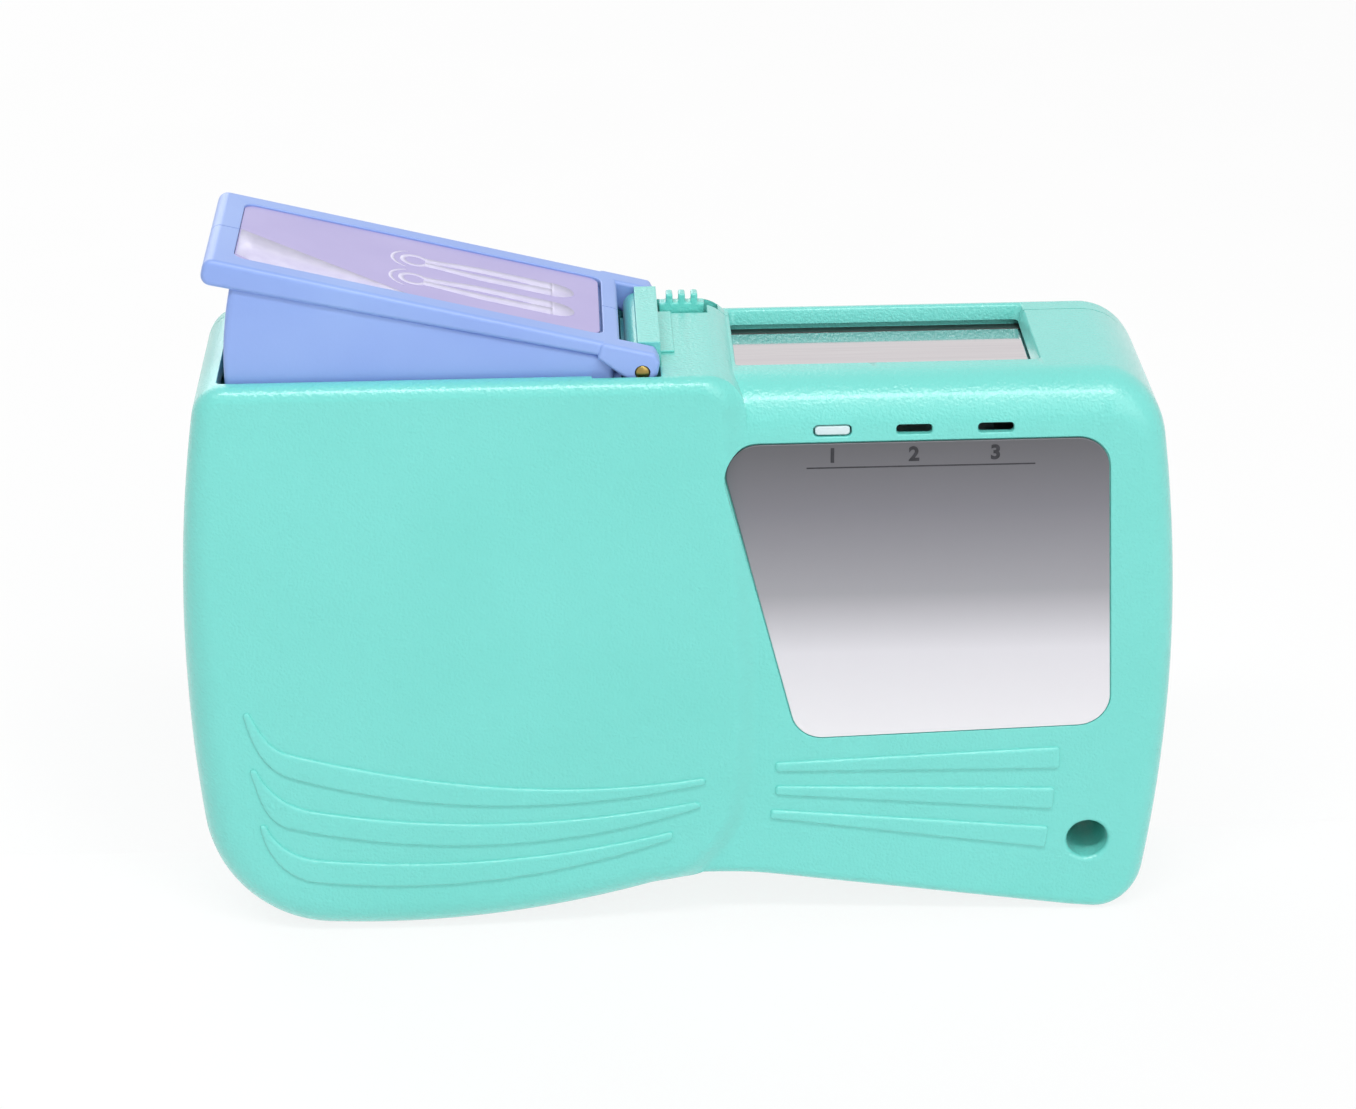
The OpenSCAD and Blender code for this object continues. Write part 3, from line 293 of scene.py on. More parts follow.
def normals(points):
    """Outward direction at each point of a clockwise outline: square to the chord of its neighbours,
    and at a sharp corner along the mitre, longer by 1 / cos(half the turn). A corner is sharp where
    it turns by 45 to 139 degrees, which makes the sum of its two headings 1.85 to 0.7 long."""
    ahead = np.roll(points[:, :2], -1, 0) - points[:, :2]
    chord = ahead + np.roll(ahead, 1, 0)
    ahead = ahead / np.maximum(np.linalg.norm(ahead, axis=1, keepdims=True), 1e-9)
    mitre = ahead + np.roll(ahead, 1, 0)
    size = np.linalg.norm(mitre, axis=1, keepdims=True)
    t = np.where((size < 1.85) & (size > 0.7), 2 * mitre / np.maximum(size, 0.7) ** 2, unit(chord))
    return np.stack([-t[:, 1], t[:, 0]], 1)


# Forms from outlines

def carried(name, points, levels, flat=False):
    """A closed skin through copies of an outline. Each level is a depth along Y, or a height where
    the outline lies flat, and how far the copy is drawn in there."""
    away, rings = normals(points), []
    for at, inset in levels:
        place = points[:, :2] - away * np.reshape(inset, (-1, 1))
        at = np.broadcast_to(at, len(place))
        rings.append(np.stack([*place.T, at] if flat else [place[:, 0], at, place[:, 1]], 1))
    return loft(name, rings)


def rim(at, edge, steps, way=1):
    """Levels round a rim: a quarter circle that starts in the plane, deeper by edge times 1 - cos
    and drawn in by edge times 1 - sin of its angle. Way -1 ends in the plane instead."""
    turns = np.linspace(0, math.pi / 2, steps)
    return [(at + way * edge * (1 - np.cos(a)), edge * (1 - np.sin(a))) for a in turns][::way]


def soft_slab(name, points, y0, y1, edge, steps=5):
    """An outline carried from y0 to y1, with both rims rounded."""
    return carried(name, points, rim(y0, edge, steps) + rim(y1, edge, steps, -1))


def box_piece(name, low, high, edge=1e-3, steps=4):
    """A block between two corners; its four long edges along Y and its rims are rounded by edge."""
    (x0, y0, z0), (x1, y1, z1) = low, high
    return soft_slab(name, rectangle(x0, x1, z0, z1, edge, 5), y0, y1, edge, steps)


def thin_plate(name, points, z0, z1, edge):
    """A flat piece with its upper rim rounded."""
    return carried(name, points, [(z0, 0)] + rim(z1, edge, 4, -1), True)


def cutter(name, points, deep, face, lip, out=4.0, steps=6, flat=False):
    """A cutter for a hole in a flat face that looks forwards, or up where the outline lies flat. Its
    mouth flares by a quarter circle of radius lip, so that the hole's rim comes out round."""
    if flat:
        mouth = [(at, -inset) for at, inset in rim(face, lip, steps, -1)]
        return carried(name, points, [(deep, 0), *mouth, (face + out, -lip)], True)
    mouth = [(at, -inset) for at, inset in rim(face, lip, steps)]
    return carried(name, points, [(face - out, -lip), *mouth, (deep, 0)])


# Casing

SOFT_W = 3.6          # width of the soft step between the two sides
LEDGE_R, BASE_R, UNDER_R = 2.0, 3.0, 2.0
TOE_R, CROWN_R, SHOULDER_R, HEEL_R = 16.0, 4.2, 8.4, 6.0
HUMP_X, HUMP_R, WAIST_OUT = 3.4, 5.0, 10.3
RAMP_TOP, RAMP_X, RAMP_ANGLE, HEEL_IN, TUCK_X = 6.9, 8.0, 8.4, 9.0, 12.0


def bow(z):
    """Half width of the casing at height z: a parabola that is widest at the waist."""
    return HALF_W - (z - WAIST_Z) ** 2 / (2 * SIDE_R)


def lean(z):
    """Slope of the casing's side at height z, in degrees from upright."""
    return math.degrees(math.atan((z - WAIST_Z) / SIDE_R))


def belly(x):
    """Height of the rounded underside at x: a parabola that is lowest at the belly's middle."""
    return (x + BELLY_X) ** 2 / (2 * BELLY_R)


def belly_slope(x):
    """Slope of the underside at x, in degrees."""
    return math.degrees(math.atan((x + BELLY_X) / BELLY_R))


def placed(share):
    """A place given by its shares of the casing's half width and height."""
    return np.array(share) * (HALF_W, BODY_H)


TOE_Z, CROWN_Z, SHOULDER_Z = TOE_R + 0.5, TALL_H - CROWN_R, BODY_H - SHOULDER_R
TOE_X = -bow(TOE_Z) + TOE_R
HEEL_X = HALF_W - HEEL_IN
HEEL_TOP = RAMP_TOP - (HEEL_X - 5 - RAMP_X) * math.tan(math.radians(RAMP_ANGLE))

BULGE = outline([
    [-BELLY_X, 0, 180, EDGE_R, 0],
    [TOE_X, belly(TOE_X), 180 + belly_slope(TOE_X), EDGE_R, 0],
    [-bow(TOE_Z), TOE_Z, 90 - lean(TOE_Z), EDGE_R, 0],
    [-HALF_W, WAIST_Z, 90, EDGE_R, 0],
    [-bow(CROWN_Z), CROWN_Z, 90 - lean(CROWN_Z), LEDGE_R + 1, 0],
    [-bow(CROWN_Z) + CROWN_R, TALL_H, 0, LEDGE_R, 0],
    [HUMP_X, TALL_H, 0, LEDGE_R, 0],
    [HUMP_X + HUMP_R, TALL_H - HUMP_R, -86, LEDGE_R, 1],
    [WAIST_OUT, WAIST_Z - 4, -90, LEDGE_R, 1],
    [WAIST_OUT - 0.9, RAMP_TOP + 12, -99, LEDGE_R, 1],
    [RAMP_X - 4, RAMP_TOP + 1.6, -135, BASE_R, 1],
    [-RAMP_X / 2, belly(-RAMP_X / 2), 180 + belly_slope(-RAMP_X / 2), EDGE_R, 0]])
BASE = outline([
    [HEEL_X, 0, 180 - RAMP_ANGLE / 2, UNDER_R, 0],
    [HEEL_X - 5, HEEL_TOP, 180 - RAMP_ANGLE, UNDER_R, 0],
    [RAMP_X + 4, RAMP_TOP - 0.6, 180 - RAMP_ANGLE, UNDER_R, 0],
    [2.5, RAMP_TOP - 0.1, 180, UNDER_R, 0],
    [-TUCK_X * 0.8, RAMP_TOP * 2.3, 120, BASE_R, 0],
    [-TUCK_X, WAIST_Z, 90, BASE_R, 0],
    [-TUCK_X * 0.6, BODY_H - 5, 50, BROW_R, 0],
    [0, BODY_H, 0, BROW_R, 0],
    [HALF_W - 10.6, BODY_H, 0, BROW_R, 0],
    [bow(SHOULDER_Z), SHOULDER_Z, -90 + lean(SHOULDER_Z), BASE_R + 0.5, 0],
    [HALF_W, WAIST_Z, -90, BASE_R, 0],
    [bow(HEEL_R), HEEL_R, -90 + lean(HEEL_R), BASE_R, 0]])


def front_form(name, points, front, skin, end, steps=9):
    """Front part of a casing half: its face, an edge, and a wall straight back to the end.

    The edge falls along a quarter circle of each point's own radius. Where the outline is soft it
    falls instead along a smooth S, one step deep, that leaves and reaches its planes level."""
    radius = np.maximum(points[:, 2] - skin, 0.5)
    soft = points[:, 3]
    levels = []
    for t in np.linspace(0, 1, steps):
        turn = t * math.pi / 2
        inset = (1 - soft) * radius * (1 - math.sin(turn)) + soft * SOFT_W * (1 - t)
        depth = (1 - soft) * radius * (1 - math.cos(turn)) + soft * STEP_D * smooth(t)
        levels.append((front + skin + depth, skin + inset))
    return carried(name, points, levels + [(end, skin)])


def rear_form(name, points, back, ease, skin, start, steps=8):
    """Back part of a casing half: a wall straight back, and a quarter circle into the back face,
    whose radius is smaller by ease near the top."""
    radius = np.maximum(REAR_R - ease * np.clip((points[:, 1] - BODY_H + 9) / 6, 0, 1) - skin, 0.5)
    edge = [(at, skin + inset) for at, inset in rim(back - skin, radius, steps, -1)]
    return carried(name, points, [(start, skin)] + edge)


def hollow_half(name, form, boss):
    """A hollow casing half: its two sides united, less the same drawn in by the wall, which stays
    solid round the strap's bore. form makes side 0, the bulge, or 1, the base, drawn in by a skin."""
    shell = solve(form(name, 0, 0), [form("base", 1, 0)], "UNION")
    hollow = solve(form("hollow", 0, WALL), [form("base_hollow", 1, WALL)], "UNION")
    solve(hollow, [soft_slab("strap_boss", circle(STRAP, STRAP_R + 1.6), *boss, 0.1)])
    return solve(shell, [hollow])


# Openings of the casing

WINDOW = (7.6, 7.6 + 0.59 * HALF_W, -5.9, HALF_D - 3.0)
WINDOW_SLOPE, BACK_SLOPE = 1.1, 0.6
PIN = (-4.6, TALL_H + 0.4)
WEDGE_R = HALF_W - 4.6 - 7.6
WEDGE_HALF = HALF_D - 3.4
RIM_HALF = WEDGE_HALF + 0.6
GAP = 0.3             # running clearance of the lever's ears
EAR_OUT, EAR_W = RIM_HALF + GAP, 3.2
EAR_IN = EAR_OUT - EAR_W
BLOCK_HALF = EAR_IN - GAP
STRAP, STRAP_R = (HALF_W - 10.4, 11.1), 2.75
PLATE = np.array([placed(s) for s in ((0.072, 0.899), (0.846, 0.9), (0.875, 0.37), (0.237, 0.355))])
PLATE_R, PLATE_SINK, PLATE_FACE = 4.2, 0.3, BASE_FRONT - 0.1
SLOTS = [placed(s) for s in ((0.3, 0.921), (0.461, 0.921), (0.622, 0.921))]
SLOT_L, SLOT_W = 4.6, 1.35
LATCH_X, LATCH_TRAVEL, LATCH_RUN, LATCH_DEEP, LATCH_BACK = (-1.7, 4.3), 1.5, 3.5, 1.6, 14.0
WELL_LOW, WELL_RIGHT = 68.4, -7.0
NOTCH_X, SEAT_RIGHT = (PIN[0] - 6.4, PIN[0] + 2.3), PIN[0] + 2.45


def slot_outline(centre, grow=0.0):
    """One of the three slots above the name plate."""
    (x, z), a, b = centre, SLOT_L / 2, SLOT_W / 2
    return rectangle(x - a, x + a, z - b, z + b, 0.5, 6, grow)


def plate_outline(grow=0.0):
    """The name plate: four corners, each a circular arc."""
    return rounded(PLATE, PLATE_R, 12, grow)


def window_cut():
    """The window's cutter: wide below, where the shutter runs under the rim, then a slope at its
    right end and a steep narrow one at its back, and a small round lip at the top face."""
    x0, x1, y0, y1 = WINDOW
    # depth under the face, the slope's share, the lip, and the reach under the rim
    rows = [(WALL + 2, 0, 0, 0.6), (2.1, 0, 0, 0.6), (2.05, 0.35, 0, 0), (0.35, 0.82, 0, 0),
            (0.12, 0.92, 0.1, 0), (0, 1, 0.3, 0), (-4, 1.1, 0.5, 0)]
    rings = []
    for depth, share, lip, under in rows:
        right = x1 + WINDOW_SLOPE * share + under * 0.3
        back = y1 + BACK_SLOPE * share + lip + under
        box = rectangle(x0 - lip, right, y0 - lip, back, 0.8)
        rings.append(np.stack([*box.T, np.full(len(box), BODY_H - depth)], 1))
    return loft("window_cutter", rings)


def well_cut():
    """The well for the lever's wedge, with its notches for the ears and the hinge block."""
    half = WEDGE_HALF + 0.4
    well = rectangle(PIN[0] - WEDGE_R - 1.0, WELL_RIGHT, -half, half, 0.8)
    cuts = [cutter("well_cutter", well, WELL_LOW, TALL_H, 0.3, flat=True)]
    for side in (-1, 1):
        sides = sorted((side * (EAR_IN - GAP), side * (EAR_OUT + GAP)))
        notch = rectangle(*NOTCH_X, *sides, 0.4)
        cuts.append(cutter("notch_cutter", notch, TALL_H - WALL - 1, TALL_H, 0.2, flat=True))
    seat = rectangle(WELL_RIGHT - 0.1, SEAT_RIGHT, -BLOCK_HALF, BLOCK_HALF, 0.2)
    return cuts + [cutter("seat_cutter", seat, TALL_H - 1.2, TALL_H, 0.1, flat=True)]


def latch_ramp():
    """The sloping recess in front of the latch: a wedge whose depth grows evenly towards the cover."""
    y0, y1, top = PART_Y - LATCH_RUN, PART_Y + 1, TALL_H + 2
    section = [(y0, TALL_H), (y1, TALL_H - LATCH_DEEP), (y1, top), (y0 - 0.01, top)]
    ends = LATCH_X[0] - 0.3, LATCH_X[1] + 0.3
    return loft("ramp_cutter", [[(x, y, z) for y, z in section] for x in ends])


# Grip ribs: each curved one by its upper and lower edge, three knots of x share, z share and
# heading; each straight one by the ends of its middle line
CRESCENTS = [
    [[(-0.874, 0.44, -66), (-0.8, 0.36, -17), (0.044, 0.295, 9)],
     [(-0.887, 0.437, -79), (-0.797, 0.313, -19), (0.048, 0.282, 12)]],
    [[(-0.867, 0.333, -72), (-0.758, 0.249, -12), (0.029, 0.249, 11)],
     [(-0.881, 0.33, -74), (-0.806, 0.216, -15), (0.039, 0.238, 19)]],
    [[(-0.854, 0.225, -74), (-0.751, 0.153, -7), (-0.022, 0.192, 14)],
     [(-0.867, 0.223, -85), (-0.757, 0.109, -8), (-0.021, 0.178, 20)]]]
FAN = [[(0.19, 0.301), (0.775, 0.306)], [(0.19, 0.256), (0.766, 0.227)], [(0.18, 0.21), (0.755, 0.151)]]
FAN_THIN, FAN_THICK, RIB_ROUND, RIB_CORNER = 1.4, 3.3, 0.5, 0.5


def raised_rib(upper, lower, face):
    """A moulded rib between two curves of equal count, given from left to right.

    A point lies at a share v from -1 to 1 between the curves. Its height is RIB_H along a quarter
    circle of RIB_ROUND from the nearest edge or end, and full height further in. Near both ends the
    width shrinks along a quarter circle of RIB_CORNER."""
    mid, half = (upper + lower) / 2, (upper - lower) / 2
    reach = np.linalg.norm(half, axis=1)
    far = travelled(mid)
    ends = np.minimum(far, far[-1] - far)
    corner = np.minimum(RIB_CORNER, 0.9 * reach)
    gone = corner * (1 - np.sqrt(1 - (1 - np.clip(ends / corner, 0, 1)) ** 2))
    half, reach = half * (1 - gone / reach)[:, None], (reach - gone)[:, None]
    v = np.sin(np.linspace(-math.pi / 2, math.pi / 2, 17))[None, :]
    inside = np.clip(np.minimum((1 - np.abs(v)) * reach, ends[:, None]) / RIB_ROUND, 0, 1)
    height = RIB_H * np.sqrt(1 - (1 - inside) ** 2)
    place = mid[:, None] + v[..., None] * half[:, None]
    top = np.stack([place[..., 0], face - height, place[..., 1]], -1)
    under = top[:, ::-1].copy()
    under[..., 1] = face + 0.35
    return loft("rib", np.concatenate([top, under], 1))


def gathered(count):
    """Shares from 0 to 1 that lie closer near both ends, as half a cosine does."""
    return (1 - np.cos(np.linspace(0, math.pi, count))) / 2


def crescent(edges):
    """A curved grip rib: two edges from the left tip over the knee to the right tip."""
    curves = []
    for edge in edges:
        tip, knee, end = ([*placed(k[:2]), k[2], 0, 0] for k in edge)
        line = np.concatenate([span(tip, knee, 0.3)[:, :2], span(knee, end, 0.3)[:, :2], [end[:2]]])
        curves.append(resampled(line, np.linspace(0, 1, len(line)), gathered(170)))
    return raised_rib(*curves, BULGE_FRONT)


def fan_rib(shares):
    """A straight grip rib that widens to the right."""
    a, b = (placed(s) for s in shares)
    d = unit(b - a)
    s = gathered(90)[:, None]
    side = np.array([-d[1], d[0]]) * (FAN_THIN + (FAN_THICK - FAN_THIN) * s) / 2
    return raised_rib(a + (b - a) * s + side, a + (b - a) * s - side, BASE_FRONT)


def front_shell():
    """The front half of the casing: two hollow forms in one, with its openings, pocket and ribs."""
    sides = (BULGE, BULGE_FRONT), (BASE, BASE_FRONT)
    end = PART_Y - SEAM / 2

    def form(name, side, skin):
        return front_form(name, *sides[side], skin, end + 1 if skin else end)

    shell = hollow_half("front_casing", form, (BASE_FRONT - 1, PART_Y + 2))
    deep = BASE_FRONT + WALL + 1
    pocket = cutter("pocket", plate_outline(0.15), BASE_FRONT + PLATE_SINK, BASE_FRONT, 0.15)
    slots = [cutter("slot", slot_outline(c, wide), deep, BASE_FRONT, 0.2)
             for c, wide in zip(SLOTS, (0.16, 0, 0))]
    # The wall is thinner behind the two open slots
    room = [soft_slab("room", slot_outline(c, 0.6), BASE_FRONT + 1.0, deep, 0.05) for c in SLOTS[1:]]
    strap = cutter("strap_cutter", circle(STRAP, STRAP_R), HALF_D + 2, BASE_FRONT, 0.7)
    solve(shell, [window_cut(), *well_cut(), latch_ramp(), pocket, *slots, *room, strap])
    ribs = [crescent(c) for c in CRESCENTS] + [fan_rib(f) for f in FAN]
    return finish_mesh(join("front_casing", [shell, *ribs]))


def rear_cover():
    """The back half of the casing: a shallow dish with the same outlines and openings."""
    sides = (BULGE, BULGE_BACK, 0.0), (BASE, BASE_BACK, 1.5)
    start = PART_Y + SEAM / 2

    def form(name, side, skin):
        return rear_form(name, *sides[side], skin, PART_Y - 1 if skin else start)

    shell = hollow_half("back_casing", form, (start, HALF_D))
    y0, y1, z0, z1 = PART_Y - 1, LATCH_BACK, TALL_H - WALL - LATCH_DEEP, TALL_H + 1
    ends = LATCH_X[0] - 0.3, LATCH_X[1] + LATCH_TRAVEL + 0.3
    slot = loft("latch_cutter", [[(x, y0, z0), (x, y1, z0), (x, y1, z1), (x, y0, z1)] for x in ends])
    bore = [(-HALF_D, 0), (BASE_BACK - 0.7, 0), (BASE_BACK - 0.2, -0.2), (BASE_BACK, -0.7),
            (HALF_D + 2, -0.7)]
    strap = carried("strap_cutter", circle(STRAP, STRAP_R), bore)
    return finish_mesh(solve(shell, [window_cut(), *well_cut(), slot, strap]))


# Lever: everything above the pin is measured in the lever's frame, raised by its tilt

TILT = math.radians(14)
PIN_R, EAR_R, LIP_R = 0.95, 2.0, 1.3
RIM_TOP, LIP_DROP, RIM_NEAR, RIM_UP, BAR_NEAR = 2.75, 0.8, 4.6, 0.8, 1.6
RIM_FAR = WEDGE_R + 3.8
WEDGE_LOW, WEDGE_NEAR, LEVER_WALL = 3.0, 3.6, 1.2
LABEL_FAR, LABEL_NEAR, LABEL_HALF = WEDGE_R + 0.2, 5.7, WEDGE_HALF - 2.5
LABEL_D, LABEL_T, LID_T = 1.0, 0.75, 0.75
RECESS_Z = RIM_TOP - LABEL_D
SPLIT = 0.14          # seam drawn between the lever's halves
CASE_R = 0.234 * HALF_W + 0.145 * BODY_H
TAKEUP, SUPPLY = (-0.369 * HALF_W, CASE_R + 8), (0.446 * HALF_W, CASE_R + 7.5)
CRANK_R, CRANK_LEAN, TRAVEL = 13, math.radians(32), math.radians(13.2)
LEG_TOP, LEG_R, LEG_SLOT_R, LEG_PAST = (-9, -1), 2.75, 1.35, 2.2


def level(piece):
    """Moves a piece made from the pin's place, not turned."""
    piece.data.transform(Matrix.Translation((PIN[0] * MM, 0, PIN[1] * MM)))
    return piece


def raised(piece):
    """Turns a piece made in the lever's frame by the tilt about the pin's line."""
    piece.data.transform(Matrix.Rotation(TILT, 4, "Y"))
    return level(piece)


def tray_side():
    """Side outline of the tray: a thin rim with a round lip on its left and a bevelled bar on its right."""
    corners = [(-BAR_NEAR, RIM_TOP), (-RIM_NEAR, RIM_UP), (-RIM_FAR, -LIP_DROP), (-RIM_FAR, RIM_TOP)]
    return rounded(corners, [0.75, 0.8, LIP_R, LIP_R], 8)


def ear_side():
    """Side outline of an ear: flush with the rim's top, and round about the pin."""
    corners = [(-6.0, RIM_TOP), (1.0, RIM_TOP), (1.9, RIM_TOP - 1.1), (EAR_R, 0), (1.1, -1.65),
               (-0.6, -1.95), (-6.0, 0.5)]
    return rounded(corners, [0.7, 0.7, 0.7, 1.0, 0.85, 0.85, 0.6], 5)


def wedge_side(r, low=-WEDGE_LOW):
    """Side outline of the wedge at rest: flat below, and its left end an arc about the pin."""
    end = arc((0, 0), r, math.pi + math.asin(-low / r), math.pi - TILT * 0.98, 24)
    return np.concatenate([[(-WEDGE_NEAR, low)], end, [(-WEDGE_NEAR, 1.8)]])


def whole_lever():
    """The lever as one moulding: tray, ears and wedge, less its recess, hollow and barrel room."""
    tray = soft_slab("lever", tray_side(), -RIM_HALF, RIM_HALF, 0.7, 7)
    solve(tray, [soft_slab("ear", ear_side(), y, y + EAR_W, 0.55, 6) for y in (-EAR_OUT, EAR_IN)], "UNION")
    raised(tray)
    solve(tray, [level(soft_slab("wedge", wedge_side(WEDGE_R), -WEDGE_HALF, WEDGE_HALF, 0.7))], "UNION")
    room = LABEL_HALF + 0.05
    label = rectangle(-LABEL_FAR - 0.05, -LABEL_NEAR + 0.05, -room, room, 1.5)
    recess = raised(cutter("recess", label, RECESS_Z, RIM_TOP, 0.15, 2.0, flat=True))
    half = WEDGE_HALF - LEVER_WALL
    hollow = soft_slab("hollow", wedge_side(WEDGE_R - LEVER_WALL, -30), -half, half, 0.1)
    lid = raised(box_piece("lid", (-80, -half, -60), (-RIM_NEAR - LEVER_WALL, half, RECESS_Z - LID_T)))
    solve(lid, [level(hollow)], "INTERSECT")
    corners = (-BAR_NEAR, -EAR_IN, -WEDGE_LOW * 2), (EAR_R + 1, EAR_IN, RIM_TOP + 1)
    barrel = raised(box_piece("barrel", *corners))
    round_room = level(soft_slab("barrel", circle((0, 0), EAR_R + 0.35), -EAR_IN, EAR_IN, 0.01))
    bore = level(soft_slab("bore", circle((0, 0), PIN_R + 0.05, 32), -20, 20, 0.01))
    return solve(tray, [recess, lid, barrel, round_room, bore])


def lever_half(whole, side):
    """The lever's front (side -1) or rear half: the whole, crossed with all that lies past the seam."""
    half = new_object(whole.name, whole.data.copy())
    near, far = sorted((side * SPLIT / 2, side * 30))
    return solve(half, [box_piece("side", (-90, near, 0), (30, far, 120))], "INTERSECT")


def drive_leg():
    """The leg that hangs inside the front wall: a bar with round ends, with the crank pin's slot in it.

    The slot runs from the pin's place at rest to its place when pressed, turned back by the travel."""
    swing = CRANK_R * np.array([math.sin(CRANK_LEAN), math.cos(CRANK_LEAN)])
    rest = np.array(TAKEUP) - swing - PIN
    x, z = np.array(TAKEUP) + swing * (1, -1) - PIN
    pressed = (x * math.cos(TRAVEL) + z * math.sin(TRAVEL), z * math.cos(TRAVEL) - x * math.sin(TRAVEL))
    ahead = unit(rest)
    layer = (-WEDGE_HALF + 0.05, -WEDGE_HALF + LEVER_WALL - 0.05)
    leg = soft_slab("leg", capsule(LEG_TOP, rest + ahead * LEG_PAST, LEG_R), *layer, 0.15, 3)
    slot = soft_slab("leg_slot", capsule(pressed, rest + ahead * 0.6, LEG_SLOT_R), -20, 0, 0.01, 2)
    return level(solve(leg, [slot]))


# Label

MARK_TOP = RECESS_Z + LABEL_T + 0.03
MARK_Y, EYE_X, EYE_IN, EYE_OUT, EYE_GAP = (-4.1, 2.6), -30.3, 1.3, 2.0, 0.5
NECK_X, NECK_HALF, FLARE_L, TIP_X, TIP_L, TIP_HALF = -29.0, 1.45, 8.5, -12.2, 2.9, 2.3
SLIT_X, SLIT_L, SLIT_HALF = -27.0, 12.3, 0.42
BEND_R, BEND_FROM, BEND_TO = 3.0, 1.9, 4.35
CORNER_X, CORNER_Y = -31.2, 0.7


def flat_mark(name, left, right, lift=0.0):
    """A printed mark: a sheet a few hundredths thick between two curves of equal count."""
    top, low = MARK_TOP + lift, MARK_TOP - 0.05
    section = [(left, top), (right, top), (right, low), (left, low)]
    return loft(name, np.stack([np.hstack([c, np.full((len(c), 1), z)]) for c, z in section], 1))


def slot_mark(y):
    """Generic guide mark of one slot: a ring of constant radius, a body that widens along a smooth
    step and holds a slit as wide as a power of a sine, an elliptic tip, and an arc about the ring's
    centre that thins towards its ends."""
    eye, middle = np.array([EYE_X, y]), (0, y)
    rings = [arc(eye, r, EYE_GAP, 2 * math.pi - EYE_GAP, 40) for r in (EYE_OUT, EYE_IN)]
    marks = [flat_mark("eye_mark", *rings)]
    x = np.linspace(NECK_X, TIP_X, 40)
    outer = NECK_HALF + (TIP_HALF - NECK_HALF) * smooth((x - NECK_X) / FLARE_L)
    slit = 0.002 + SLIT_HALF * np.sin(math.pi * np.clip((x - SLIT_X) / SLIT_L, 0, 1)) ** 0.6
    for side in (-1, 1):
        edges = [np.stack([x, y + side * wide], 1) for wide in (outer, slit)]
        marks.append(flat_mark("body_mark", *edges, 0.002))
    a = np.linspace(0, math.pi / 2, 14)
    tip = np.stack([TIP_L * np.sin(a) + TIP_X, TIP_HALF * np.cos(a) + 0.01], 1)
    marks.append(flat_mark("tip_mark", tip + middle, tip * (1, -1) + middle, 0.004))
    half = 0.03 + 0.2 * np.sqrt(np.sin(np.linspace(0, math.pi, 40)))[:, None]
    bend = toward(np.linspace(BEND_FROM, BEND_TO, 40))
    return marks + [flat_mark("arc_mark", eye + (BEND_R + half) * bend, eye + (BEND_R - half) * bend)]


def label_marks():
    """Generic guide marks on the label: a pale corner, and two slots like those of the wiping plate."""
    left, front = 0.15 - LABEL_FAR, 0.45 - LABEL_HALF
    x = np.linspace(left, CORNER_X, 12)
    slope = CORNER_Y + (front - CORNER_Y) * (x - left) / (CORNER_X - left)
    edge = np.full(12, front) + np.r_[1.2, np.zeros(11)]
    marks = [flat_mark("corner_mark", np.stack([x, slope], 1), np.stack([x, edge], 1))]
    return raised(join("label_marks", marks + [m for y in MARK_Y for m in slot_mark(y)]))


def label_outline(grow=0.0):
    """The label in the tray's recess, laid a little off the middle: its joint shows along its front
    and right edges."""
    return rectangle(-LABEL_FAR, -LABEL_NEAR - 0.32, 0.32 - LABEL_HALF, LABEL_HALF, 1.45, 10, grow)


def label_film():
    """The label's film: a sheet with round corners."""
    film = thin_plate("label", label_outline(), RECESS_Z + 0.4, RECESS_Z + LABEL_T, 0.06)
    return raised(finish_mesh(film, 50))


def label_shade_sheet():
    """A near-black sheet under the film: its edge is a painted shade, a dark line in the joint round the
    label.
    """
    tape = thin_plate("label_shade_sheet", label_outline(0.04), RECESS_Z, RECESS_Z + LABEL_T - 0.14, 0.03)
    return raised(finish_mesh(tape, 50))


# Small parts

NUMBER_H, NUMBER_Z, RULE = 2.7, 67.6, (16.2, 45.6, 66.7, 66.9)
HEAD_R, HEAD_T, SHANK_R, CROSS_L, CROSS_W = 2.1, 0.9, 0.95, 1.25, 0.22
SCREWS = [placed(s) for s in ((-0.846, 0.705), (-0.816, 0.17), (0.046, 0.18), (0.9, 0.744))]
KEY_L, KEY_W, KEY_EYE_R, KEY_FROM, KEY_Y = 24.0, 2.6, 2.1, 7.0, (-4.0, 2.0)


def name_plate():
    """The metal name plate: its outline with a fine rounded rim."""
    depths = PLATE_FACE, BASE_FRONT + PLATE_SINK
    return finish_mesh(soft_slab("name_plate_metal", plate_outline(), *depths, 0.12))


def numbers():
    """Plain numbers 1 to 3 on the plate, one under each slot, over a thin rule, all raised by a few
    hundredths."""
    signs = [soft_slab("rule", rectangle(*RULE, 0.05, 3), PLATE_FACE - 0.02, PLATE_FACE + 0.05, 0.01, 2)]
    upright = Matrix.Rotation(math.pi / 2, 4, "X")
    for i, c in enumerate(SLOTS):
        curve = bpy.data.curves.new("number", "FONT")
        curve.body, curve.size, curve.align_x = str(i + 1), NUMBER_H * MM, "CENTER"
        curve.extrude, curve.offset = 0.05 * MM, 0.1 * MM
        text = new_object("number", curve)
        mesh = evaluated(text)
        bpy.data.objects.remove(text)
        mesh.transform(Matrix.Translation((c[0] * MM, (PLATE_FACE + 0.01) * MM, NUMBER_Z * MM)) @ upright)
        signs.append(outward(new_object("number", mesh)))
    return join("slot_numbers", signs)


def indicator():
    """The pale insert that fills the first slot: its outline with soft rims."""
    y0, y1 = in_mm(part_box("type_indicator"))[:, 1]
    return finish_mesh(soft_slab("indicator_insert", slot_outline(SLOTS[0], -0.05), y0, y1, 0.25), 40)


